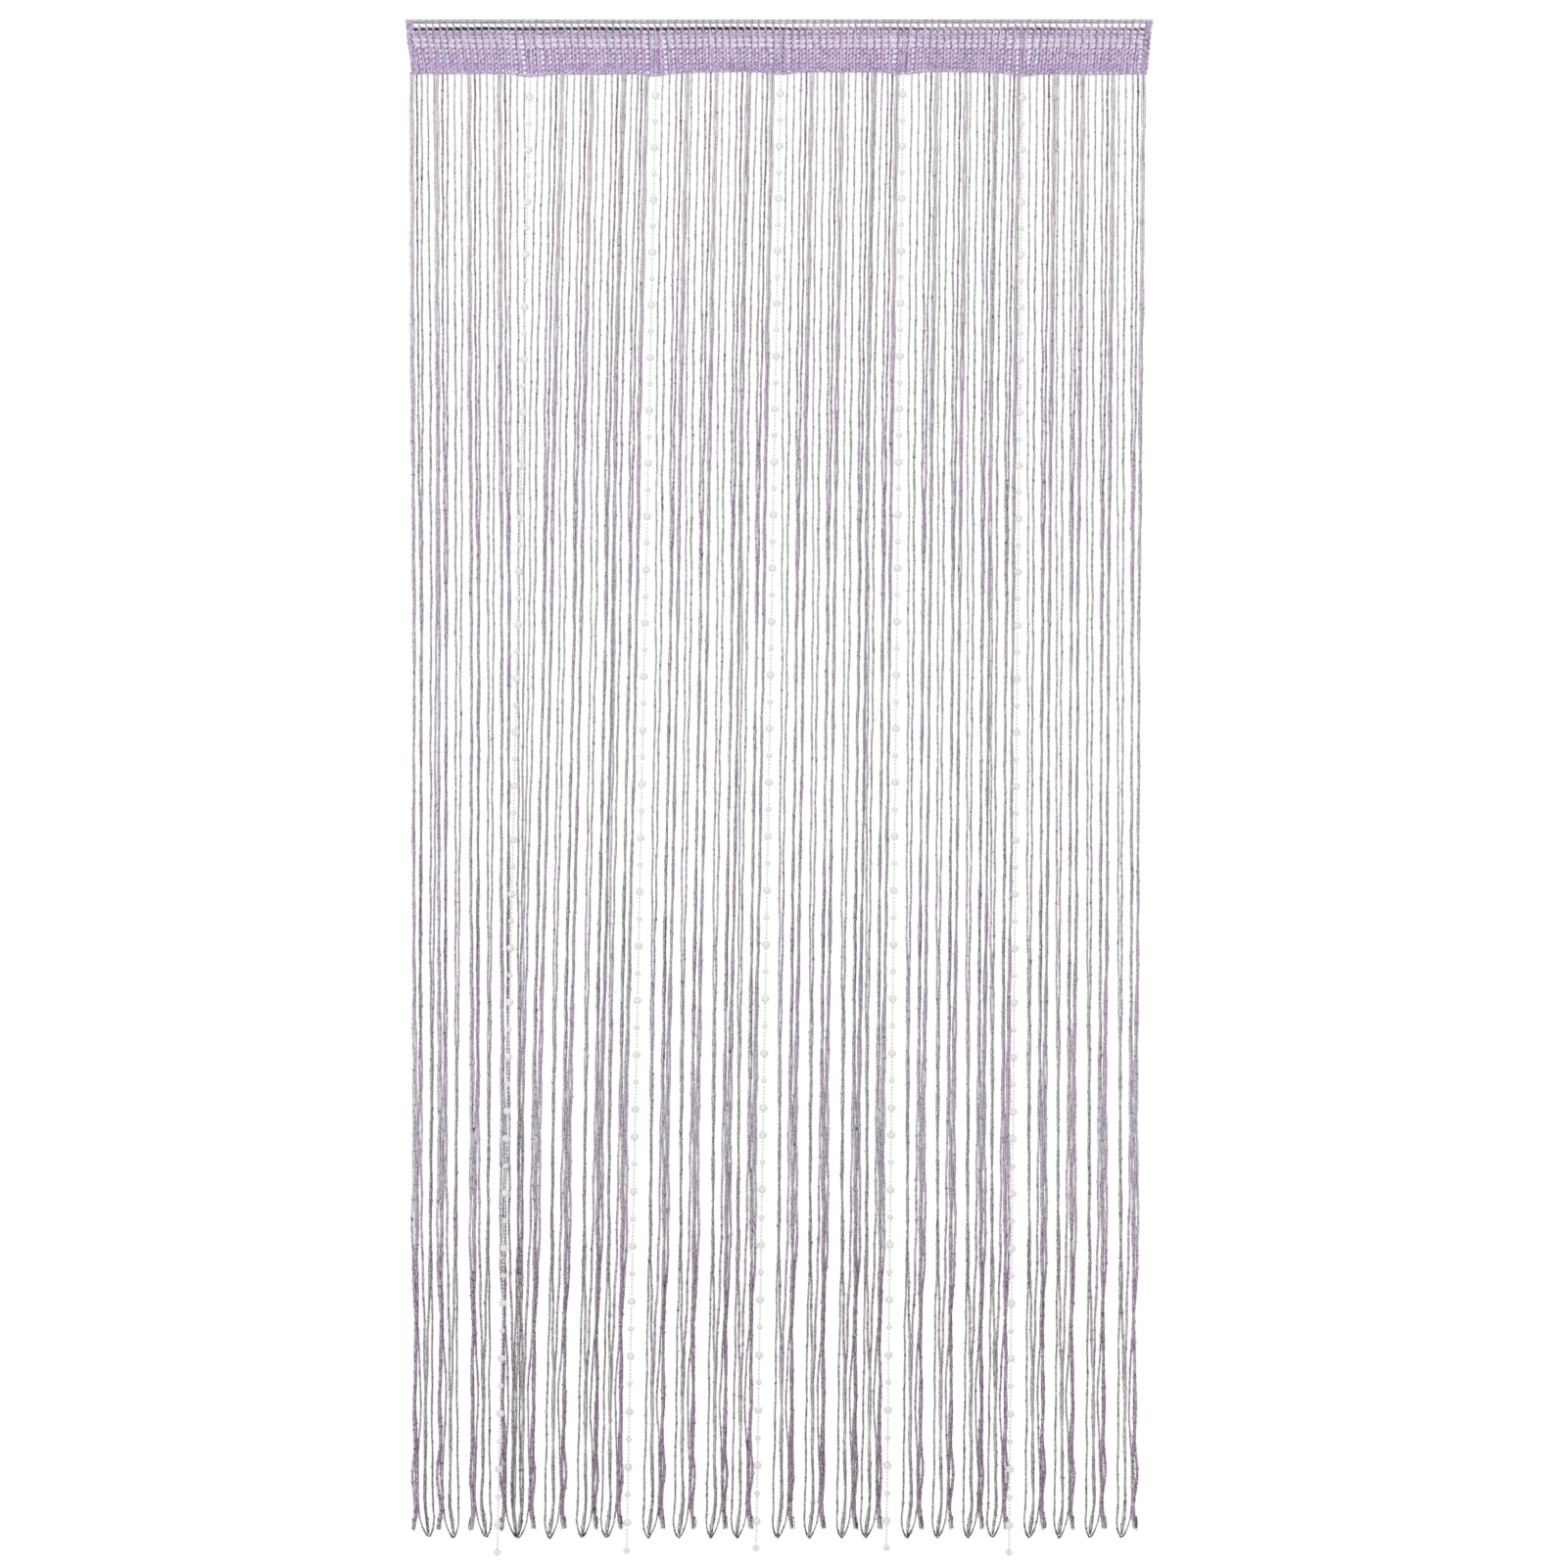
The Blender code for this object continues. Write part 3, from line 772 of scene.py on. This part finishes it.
print("groups:", len(all_groups()), "strings:", len(all_groups()) * len(STRINGS))

# %% [markdown]
# ## How the yarn changes on its way down
# The strings are tinsel yarn: a thin foil wound round a soft core. Along its length the yarn is
# fluffy and pale in places, and tight and dark in others, and the dye runs from grey to violet.
# All groups change at the same heights, as if cut at the same place of the yarn. Three tables say
# how thick, how dark and how violet each string is there, and random waves do the rest.

# %% The yarn's thickness and dye
LOOK_DROPS = (75, 330, 500, 640, 820, 1080, 1250, 1390, 1480,
              1600, 1720, 1850, 1905, 1930, 1990, 2012, 2024)
THICKNESS = {
    "A": (1.5, 1.5, 1.4, 1.2, 1.1, 1.2, 1.4, 1.5, 1.7, 1.6, 1.6, 1.8, 1.7, 1.7, 2.0, 1.7, 1.6),
    "B": (1.5, 1.5, 1.5, 1.3, 1.1, 1.2, 1.3, 1.5, 1.7, 1.6, 1.7, 1.8, 1.9, 1.9, 2.0, 1.6, 1.5),
    "C": (1.3, 1.1, 1.3, 1.5, 1.4, 1.1, 1.1, 1.2, 1.6, 1.5, 1.4, 1.1, 1.1, 1.1, 1.1, 0.9, 1.2),
    "D": (1.2, 1.2, 1.4, 1.4, 1.3, 1.3, 1.3, 1.4, 1.3, 1.4, 1.5, 1.3, 1.3, 1.4, 1.4, 1.1, 1.2),
    "E": (1.0, 1.1, 1.3, 1.4, 1.3, 1.2, 1.3, 1.3, 1.2, 1.4, 1.5, 1.7, 1.6, 1.3, 1.3, 1.8, 1.3),
    "F": (1.0, 1.0, 1.1, 1.1, 1.2, 1.2, 1.2, 1.3, 1.1, 1.3, 1.2, 1.2, 1.2, 1.2, 1.2, 1.1, 1.2),
}
DARKNESS = {
    "A": (.00, .00, .22, .22, .26, .34, .32, .22, .18, .26, .54, .50, .50, .50, .48, .32, .40),
    "B": (.00, .00, .22, .22, .30, .38, .32, .22, .18, .32, .56, .50, .50, .50, .48, .32, .40),
    "C": (.66, .58, .46, .36, .32, .50, .68, .40, .22, .34, .50, .50, .50, .50, .50, .44, .95),
    "D": (.38, .40, .40, .32, .28, .38, .40, .28, .22, .38, .40, .42, .42, .50, .54, .60, .95),
    "E": (.35, .43, .42, .36, .32, .38, .40, .30, .46, .48, .44, .26, .28, .46, .48, .26, .95),
    "F": (.31, .48, .33, .30, .30, .38, .36, .28, .46, .52, .50, .56, .56, .56, .56, .54, .95),
}
VIOLET = {
    "A": (.1, .2, .6, .6, .4, .5, .5, .4, .3, .5, .9, .9, .9, .9, .9, .3, .1),
    "B": (.1, .2, .6, .6, .3, .5, .6, .6, .4, .6, .9, .9, .9, .9, .9, .3, .1),
    "C": (.9, .9, .6, .6, .7, .9, .9, .8, .4, .5, .5, .2, .2, .2, .2, .2, .0),
    "D": (.5, .4, .5, .5, .4, .3, .2, .3, .4, .5, .4, .3, .3, .4, .3, .3, .0),
    "E": (.1, .1, .4, .4, .4, .5, .5, .4, .4, .5, .3, .2, .2, .3, .2, .3, .0),
    "F": (.1, .1, .4, .4, .4, .5, .5, .4, .4, .5, .3, .2, .1, .1, .1, .1, .0),
}
YARN_RADIUS = 1.2 * MM
RING_STEP = 6 * MM              # between the rings of a string's tube
NUB_SPACING = 22 * MM           # the foil bunches up into a nub about this often
NUB_HALF = 1.5 * MM
NUB_SWELL = 0.4
NUB_SHIFT = 0.3 * MM            # a nub sits to one side of its string
NUB_SIDE_LENGTH = 17 * MM       # sets how often the nubs change sides
NUB_DARKNESS = 0.03
PLAIN_END = 10 * MM             # at the end of a route, without nubs
TWIST_LENGTH = 260 * MM
TURN_LENGTH = 6 * MM            # round a loop's bottom, where its look changes to the other leg's
SWAY_DROP = 90 * MM             # a string starts to sway here
SWAY_RISE = 150 * MM            # and sways fully this much lower

# Waves along a string: each has a length in metres and how far it reaches.
SWAY = ((0.31, 0.3 * MM), (0.13, 0.14 * MM), (0.052, 0.08 * MM), (0.019, 0.08 * MM))
FLUFF = ((0.071, 0.03), (0.029, 0.06), (0.014, 0.1))
DYE_WAVES = ((0.19, 0.04), (0.043, 0.03))


def follow(points, stations):
    """Points at these distances on a smooth curve through the given ones."""
    points = np.array(points)
    chords = np.linalg.norm(np.diff(points, axis=0), axis=1)
    along = np.concatenate(([0], np.cumsum(chords)))
    slopes = np.gradient(points, along, axis=0)
    index = np.clip(np.searchsorted(along, stations, side="right") - 1, 0, len(chords) - 1)
    chord = chords[index]
    t = (stations - along[index]) / chord
    t, chord = t[:, None], chord[:, None]
    start = (2 * t**3 - 3 * t**2 + 1) * points[index] + (t**3 - 2 * t**2 + t) * chord * slopes[index]
    end = (3 * t**2 - 2 * t**3) * points[index + 1] + (t**3 - t**2) * chord * slopes[index + 1]
    return start + end


def route_length(points):
    return np.linalg.norm(np.diff(np.array(points), axis=0), axis=1).sum()


def waves(stations, sizes, dice):
    """Waves of these sizes, each with a random phase."""
    return sum(reach * np.sin(2 * np.pi * stations / length + dice.uniform(0, FULL_TURN))
               for length, reach in sizes)


def look_at(table, letters, drop, turned):
    """A look table's value at each point, from the first letter before the turn and the last after."""
    first, last = (np.interp(drop / MM, LOOK_DROPS, table[letter]) for letter in letters)
    return first * (1 - turned) + last * turned


def string_route(points, letters, dice):
    """A string with its waves, nubs, thickness and dye."""
    length = route_length(points)
    nubs = np.arange(dice.uniform(0.3, 1) * NUB_SPACING, length - PLAIN_END, NUB_SPACING)
    nubs = nubs + np.array([dice.uniform(-0.4, 0.4) for nub in nubs]) * NUB_SPACING
    even = np.linspace(0, length, round(length / RING_STEP))
    stations = np.union1d(even, np.concatenate([nubs - NUB_HALF, nubs, nubs + NUB_HALF]))
    stations = np.clip(stations, 0, length)
    places = follow(points, stations)
    drop = -places[:, 2]

    free = np.clip((drop - SWAY_DROP) / SWAY_RISE, 0, 1)
    places[:, 0] += waves(stations, SWAY, dice) * free
    places[:, 1] += waves(stations, SWAY, dice) * free * 0.6

    lowest = stations[np.argmax(drop)]
    turned = np.clip((stations - lowest) / TURN_LENGTH + 0.5, 0, 1) if letters[0] != letters[1] else 0.0
    nearest = np.min(np.abs(stations[:, None] - nubs[None, :]), axis=1)
    nub = (nearest < NUB_HALF / 2).astype(float)
    nub_side = np.sign(np.sin(stations / NUB_SIDE_LENGTH + dice.uniform(0, FULL_TURN)))
    places[:, 0] += nub * free * nub_side * NUB_SHIFT
    fluff = 1 + waves(stations, FLUFF, dice)
    radius = YARN_RADIUS * look_at(THICKNESS, letters, drop, turned) * fluff * (1 + NUB_SWELL * nub)
    dark = look_at(DARKNESS, letters, drop, turned) + NUB_DARKNESS * nub
    dark = dark + waves(stations, DYE_WAVES, dice)
    twist = 2 * np.pi * stations / TWIST_LENGTH * dice.choice((-1, 1)) + dice.uniform(0, FULL_TURN)
    return {"points": places, "radius": radius, "twist": twist, "darkness": dark,
            "violet": look_at(VIOLET, letters, drop, turned)}


# %% Spin the groups
FRAY_COUNT = 7                  # loose fibres at a tuft's cut end
FRAY_LENGTH = 16 * MM
FRAY_RADII = np.array((0.5, 0.45, 0.3)) * MM


def fray(tuft, side, dice):
    """Loose fibres that fan out at the cut ends of A and B."""
    routes = []
    for fibre in range(FRAY_COUNT):
        letter = "AB"[fibre % 2]
        end = Vector((tuft + side * TUFT_ENDS[letter] * MM, layer_depth(letter, side), -TUFT_DROP * MM))
        start = end + Vector((dice.uniform(-1, 1) * MM, dice.uniform(-1, 1) * MM, FRAY_LENGTH))
        tip = end + Vector((dice.uniform(-2.4, 2.4) * MM, dice.uniform(-2, 2) * MM,
                            dice.uniform(-3, 4) * MM))
        middle = (start + tip) / 2 + Vector((dice.uniform(-1.2, 1.2) * MM, 0, 0))
        points = np.array([start, middle, tip])
        routes.append({"points": points, "radius": FRAY_RADII, "twist": 0.0,
                       "darkness": 0.9, "violet": 0.4})
    return routes


def string_group(number, tuft, side, root_scale):
    dice = random.Random(number)
    routes = [
        string_route(tuft_route(tuft, side, "A", root_scale), "AA", dice),
        string_route(tuft_route(tuft, side, "B", root_scale), "BB", dice),
        string_route(loop_route(tuft, side, "C", "F", OUTER_LOOP, root_scale), "CF", dice),
        string_route(loop_route(tuft, side, "D", "E", INNER_LOOP, root_scale), "DE", dice),
    ]
    group = draw_routes(f"string_group_{number:02d}", routes + fray(tuft, side, dice))
    return spin(group, TINSEL)


groups = [string_group(number, *group) for number, group in enumerate(all_groups(), start=1)]
print("string triangles in all:", sum(triangles(group) for group in groups))

# %% [markdown]
# ## The knitted edge
# The strings grow out of a narrow chain that is knitted to the header's lower edge. Three threads
# run along it and wind round each other, and a small lump holds each root.

# %% Knit the edge
EDGE_TOP = 69.8 * MM
EDGE_DEPTH = 2.6 * MM
EDGE_POINTS = 420
EDGE_PHASES = (0, 2.1, 4.2)     # a third of a turn apart, one for each thread
WINDING = 4.6 * MM              # the length in which a thread winds round once
SWELLING = 3.7 * MM             # and in which its thickness and its tone come and go
SHADING = 5.3 * MM


def knitted_edge():
    routes = []
    x = np.linspace(-1, 1, EDGE_POINTS) * (half_width(EDGE_TOP) - 1 * MM)
    for phase in EDGE_PHASES:
        turn = 2 * np.pi * x / WINDING + phase
        level = EDGE_TOP + EDGE_DEPTH * (0.42 + 0.26 * np.sin(turn))
        points = np.stack((x, 0.8 * MM * np.cos(turn), -hung_drop(x, level)), axis=1)
        radius = (0.55 + 0.2 * np.sin(2 * np.pi * x / SWELLING + phase)) * MM
        tone = 0.6 + 0.6 * np.sin(2 * np.pi * x / SHADING + phase)
        routes.append({"points": points, "radius": radius, "twist": 0.0, "tone": tone})
    for tuft, side, root_scale in all_groups():
        for letter in STRINGS:
            place = np.array(leg(tuft, side, letter, root_scale)[0])
            reach = np.array(((0, 0, 1.6), (0, -0.9, 0.4), (0, 0, -1.4))) * MM
            routes.append({"points": place + reach, "radius": np.array((0.7, 1.0, 0.8)) * MM,
                           "twist": 0.0, "tone": 0.5})
    return spin(draw_routes("fringe_edge", routes), ROUND_YARN)


edge = knitted_edge()
edge.data.materials.append(net.data.materials[0])
print("edge triangles:", triangles(edge))

# %% [markdown]
# ## Tinsel
# The yarn's material reads the darkness and the violet that are stored along each string. Fine noise
# mottles it, since the foil shows only here and there. A noise drawn out along the strings turns
# the greyer ones a little blue at mid height. A few tiny cells of a Voronoi pattern turn almost
# white: these are the places where the foil catches the light.

# %% The yarn's material
COOL_FROM = (0.30, 0.50)        # drops in metres between which the blue comes in
COOL_TO = (1.5, 1.7)            # and between which it goes again
GLINT_LIMIT = 0.93              # a cell with a random value above this is a glint


def yarn_material():
    material, shader, flow = new_material("tinsel_yarn")
    mottle = cloud(flow, 330, 1.0)
    grain = cloud(flow, 1100, 1.0, offset=(4, 0, 0))
    darkness = stored(flow, "darkness") + (mottle - 0.5) * 1.5 + (grain - 0.5) * 0.6
    darkness = darkness.rise(-0.1, 1.1)
    violet = stored(flow, "violet") + (cloud(flow, 40, 1.0, offset=(0, 9, 0)) - 0.5) * 0.6
    violet = violet.rise(0.0, 1.0)
    pale = violet.blend(paint_colour(216, 211, 215), paint_colour(218, 197, 219))
    deep = violet.blend(paint_colour(40, 36, 42), paint_colour(76, 32, 85))
    drop = coordinate(flow, 2) * -1
    cool = cloud(flow, 5, 1.0, stretch=(14, 14, 1), offset=(3, 0, 0)).rise(0.40, 0.56)
    cool = cool * drop.rise(*COOL_FROM) * (1 - drop.rise(*COOL_TO)) * (1 - violet) * 0.6
    pale = cool.blend(pale, paint_colour(204, 205, 216))
    deep = cool.blend(deep, paint_colour(48, 44, 66))
    colour = darkness.blend(pale, deep)
    place = flow.node("ShaderNodeTexCoord", output=3)
    cells = flow.node("ShaderNodeTexVoronoi", {}, {"Vector": place, "Scale": 800.0}, output=1)
    glint = flow.node("ShaderNodeSeparateColor", {}, {0: cells}) > GLINT_LIMIT
    colour = (glint * 0.85).blend(colour, paint_colour(250, 246, 252))
    feed(shader, Base_Color=colour, Roughness=0.55 - glint * 0.3, Metallic=glint * 0.5 + 0.1,
         Normal=bump(flow, 0.5, 0.3 * MM, grain))
    return material


yarn = yarn_material()
for group in groups:
    group.data.materials.append(yarn)

# %% [markdown]
# ## The beads
# Each bead string carries three kinds of clear beads on one thread: a large one about every 70 mm,
# a smaller one halfway, and seed beads between them, with one more at the end. A bead is turned
# like a barrel: starting from the bottom of its hole, a disc is extruded ring by ring, and each
# ring is turned by half a facet, which gives the cut faces of a moulded clear bead.

# %% Turn one bead of each kind
def turn_bead(name, rings, sides, size):
    """A faceted bead from rings of (height, radius), given as shares of its size."""
    pick()
    height, radius = rings[0]
    bpy.ops.mesh.primitive_circle_add(vertices=sides, radius=radius * size, fill_type="NGON",
                                      location=(0, 0, height * size))
    bead = bpy.context.object
    bead.name = name
    bpy.ops.object.transform_apply(location=True, rotation=True, scale=True)
    bpy.ops.object.mode_set(mode="EDIT")
    bpy.ops.mesh.select_mode(type="FACE")
    bpy.ops.mesh.select_all(action="SELECT")
    for (low, inner), (high, outer) in zip(rings, rings[1:]):
        step = (0, 0, (high - low) * size)
        middle = (0, 0, high * size)
        bpy.ops.mesh.extrude_region_move(TRANSFORM_OT_translate={"value": step})
        bpy.ops.transform.resize(value=(outer / inner, outer / inner, 1), center_override=middle)
        bpy.ops.transform.rotate(value=math.pi / sides, orient_axis="Z", center_override=middle)
    bpy.ops.mesh.select_all(action="SELECT")
    bpy.ops.mesh.normals_make_consistent(inside=False)
    bpy.ops.object.mode_set(mode="OBJECT")
    return bead


LARGE_RINGS = ((-0.55, 0.16), (-0.88, 0.3), (-0.66, 0.74), (-0.25, 0.97), (0.25, 0.97),
               (0.66, 0.74), (0.88, 0.3), (0.55, 0.16))
SMALL_RINGS = ((-0.5, 0.18), (-0.85, 0.34), (-0.4, 0.92), (0.4, 0.92), (0.85, 0.34), (0.5, 0.18))
SEED_RINGS = ((-0.3, 0.3), (-0.62, 0.6), (0.0, 1.0), (0.62, 0.6), (0.3, 0.3))
beads = {
    "large": turn_bead("large_bead", LARGE_RINGS, sides=8, size=5.5 * MM),
    "small": turn_bead("small_bead", SMALL_RINGS, sides=7, size=4.2 * MM),
    "seed": turn_bead("seed_bead", SEED_RINGS, sides=6, size=1.8 * MM),
    "end": turn_bead("end_bead", LARGE_RINGS, sides=7, size=4.7 * MM),
}
print("triangles:", {kind: triangles(bead) for kind, bead in beads.items()})

# %% [markdown]
# ## Threading them
# Geometry nodes put a copy of a bead at each point of a bare set of points, give it a random turn
# about the thread, and make the copies real. One piece holds a whole string, with its thread, which
# starts where the string is tied to the header's edge.

# %% Place beads on points
def make_threader(bead, seed):
    """Geometry nodes that put a copy of this bead at each point."""
    group = bpy.data.node_groups.new(bead.name + "_threader", "GeometryNodeTree")
    group.interface.new_socket("Points", in_out="INPUT", socket_type="NodeSocketGeometry")
    group.interface.new_socket("Beads", in_out="OUTPUT", socket_type="NodeSocketGeometry")
    flow = Flow(group)
    points = flow.node("NodeGroupInput")
    shape = flow.node("GeometryNodeObjectInfo", {}, {"Object": bead}, output=4)
    lowest, highest = (-0.12, -0.12, 0.0), (0.12, 0.12, FULL_TURN)
    turn = flow.node("FunctionNodeRandomValue", {"data_type": "FLOAT_VECTOR"},
                     {0: lowest, 1: highest, "Seed": seed})
    sockets = {"Points": points, "Instance": shape, "Rotation": turn}
    copies = flow.node("GeometryNodeInstanceOnPoints", {}, sockets)
    copies = flow.node("GeometryNodeRealizeInstances", {}, {"Geometry": copies})
    flow.node("NodeGroupOutput", {}, {"Beads": copies})
    return group


# %% The bead strings' rows
# One row for each bead string: where it is tied, where it ends, and the drop of its first large
# bead and of its end bead, all in mm.
BEAD_STRINGS = (
    # top, bottom, first bead, end bead
    (-331.9, -375.8, 104.6, 2044.5),
    (-164.1, -203.3, 102.0, 2042.0),
    (2.0, -30.7, 100.0, 2038.5),
    (165.4, 143.1, 100.0, 2038.0),
    (324.8, 306.5, 105.2, 2044.5),
)
# Where the beads sit, in pitches below the first one: where the two runs of large beads meet, two
# of them are only half a pitch apart, and a small bead sits halfway between any other two.
LARGE_STEPS = np.concatenate((np.arange(20), np.arange(19.5, 27)))
SMALL_STEPS = np.concatenate((np.arange(0.5, 19), np.arange(20, 27)))
BEAD_PITCH = 69.5 * MM
BEAD_STRETCH = 0.087 * MM       # what each pitch gains on the one above
SEED_PITCH = 4.84 * MM
SEED_MARGIN = 5 * MM            # from the knot, and from the middle of the end bead
LARGE_ROOM = 5.8 * MM           # seed beads keep this far from the middle of a large bead
SMALL_ROOM = 4.7 * MM
KNOT_DROP = 69 * MM
KNOT_FRONT = -3.1 * MM
BEAD_TOP_FRONT = -6.6 * MM
BEAD_FRONT = -9.5 * MM
BEAD_SPREAD_DROP = 497 * MM
BEAD_THREAD_RADIUS = 0.22 * MM
THREAD_POINTS = 80
THREAD_TAIL = 4.2 * MM          # below the middle of the end bead


def bead_drops(first, end):
    """The drop of every bead of each kind."""
    large, small = (first + BEAD_PITCH * steps + BEAD_STRETCH * steps * steps
                    for steps in (LARGE_STEPS, SMALL_STEPS))
    seed = np.arange(KNOT_DROP + SEED_MARGIN, end - SEED_MARGIN, SEED_PITCH)
    clear = np.abs(seed[:, None] - large[None, :]).min(axis=1) > LARGE_ROOM
    clear &= np.abs(seed[:, None] - small[None, :]).min(axis=1) > SMALL_ROOM
    return {"large": large, "small": small, "seed": seed[clear], "end": np.array([end])}


def on_thread(row, drops):
    """Points of a bead string at these drops."""
    top, bottom, first, end = (value * MM for value in row)
    x = top + (bottom - top) * (drops - KNOT_DROP) / (end - KNOT_DROP)
    levels = (KNOT_DROP, first, BEAD_SPREAD_DROP)
    y = np.interp(drops, levels, (KNOT_FRONT, BEAD_TOP_FRONT, BEAD_FRONT))
    return np.stack((x, y, -drops), axis=1)


def bead_string(number, row):
    first, end = row[2] * MM, row[3] * MM
    parts = []
    for kind, drops in bead_drops(first, end).items():
        places = draw_routes(kind, [{"points": on_thread(row, drops)}])
        add_modifier(places, "NODES", node_group=make_threader(beads[kind], number))
        parts.append(places)
    drops = np.linspace(KNOT_DROP, end + THREAD_TAIL, THREAD_POINTS)
    thread = {"points": on_thread(row, drops), "radius": BEAD_THREAD_RADIUS, "twist": 0.0}
    parts.append(spin(draw_routes("thread", [thread]), ROUND_YARN))
    return join(f"bead_string_{number}_beads", parts)


bead_strings = [bead_string(number, row) for number, row in enumerate(BEAD_STRINGS, start=1)]
for bead in beads.values():
    bpy.data.objects.remove(bead)
print("bead triangles in all:", sum(triangles(piece) for piece in bead_strings))

# %% [markdown]
# ## Clear beads
# Moulded clear beads aren't perfectly clear: they show as pale grey discs. The shader lets a fifth
# of the light through and scatters the rest. A rim seen at a slant gets a painted highlight: its
# colour is a little paler there. A fine noise clouds parts of each bead.

# %% The beads' material
def bead_material():
    material, shader, flow = new_material("clear_bead")
    # Painted highlight: the colour turns paler where the bead's rim is seen at a slant.
    painted_rim_highlight = flow.node("ShaderNodeLayerWeight", {}, {"Blend": 0.35}, output=1)
    cloudy = cloud(flow, 350, 1.0)
    colour = painted_rim_highlight.blend(paint_colour(242, 242, 243), paint_colour(251, 251, 252))
    colour = (cloudy.rise(0.5, 0.7) * 0.4).blend(colour, paint_colour(222, 223, 222))
    feed(shader, Base_Color=colour, Roughness=0.15 + cloudy * 0.1, Transmission_Weight=0.2, IOR=1.3)
    return material


clear = bead_material()
for piece in bead_strings:
    piece.data.materials.clear()
    piece.data.materials.append(clear)

# %% [markdown]
# ## Riding on the frame
# The curtain has no joints, so every piece rides on the one body. Each new piece hides the solid
# that it stands for.

# %% Put each piece on the body and hide its solid
def stand_for(piece, node):
    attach(piece, "root")
    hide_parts(node)


stand_for(net, "header_net")
stand_for(seam, "seam_thread")
stand_for(edge, "string_fringe")
for group in groups:
    stand_for(group, "string_fringe")
for number, piece in enumerate(bead_strings, start=1):
    stand_for(piece, f"bead_string_{number}")

# The net band is taken to be 144 mm deep when flat: 70 mm in front, 60 mm folded down behind it and
# 14 mm turned in at the seam. Only the front shows, so the other two are guesses.
pieces = [net, seam, edge, *groups, *bead_strings]
print("pieces:", len(pieces), "triangles:", sum(triangles(piece) for piece in pieces))

# %% [markdown]
# ## Camera, light and floor
# The photograph is taken square on from far away, so the camera is a long lens at mid height. The
# light is plain white from all round, with one large soft lamp on the left to give the beads and
# the foil something to catch.

# %% Set the camera, the light and the floor
FRAME_WIDTH = 2.0928            # metres across the picture at the curtain
FRAME_X = 0.0065                # the middle of the picture
FRAME_Z = -1.0203
DISTANCE = 8.0
SENSOR = 36.0
LAMP_PLACE = (-1.6, -3.2, 0.8)
LAMP_AIM = (0, 0, -1)
FLOOR_PLACE = (0, 0, -2.25)


def add_camera():
    pick()
    bpy.ops.object.camera_add(location=(FRAME_X, -DISTANCE, FRAME_Z), rotation=(math.pi / 2, 0, 0))
    camera = bpy.context.object
    camera.data.sensor_width = SENSOR
    camera.data.lens = SENSOR * DISTANCE / FRAME_WIDTH
    bpy.context.scene.camera = camera


def add_lamp():
    pick()
    bpy.ops.object.light_add(type="AREA", location=LAMP_PLACE)
    lamp = bpy.context.object
    lamp.data.size = 2.0
    lamp.data.energy = 25
    lamp.rotation_euler = (Vector(LAMP_AIM) - lamp.location).to_track_quat("-Z", "Y").to_euler()


def add_floor():
    pick()
    bpy.ops.mesh.primitive_circle_add(vertices=96, radius=1.3, fill_type="NGON", location=FLOOR_PLACE)
    floor = bpy.context.object
    floor.name = "floor"
    material, shader, flow = new_material("pale_floor")
    colour = cloud(flow, 6).blend(paint_colour(226, 225, 223), paint_colour(236, 235, 234))
    feed(shader, Base_Color=colour, Roughness=0.8)
    floor.data.materials.append(material)


def light_all_round():
    world = bpy.data.worlds.new("white_studio")
    world.use_nodes = True
    background = world.node_tree.nodes["Background"]
    background.inputs["Color"].default_value = (1, 1, 1, 1)
    background.inputs["Strength"].default_value = 1.0
    bpy.context.scene.world = world
    bpy.context.scene.view_settings.view_transform = "Standard"


add_camera()
add_lamp()
add_floor()
light_all_round()
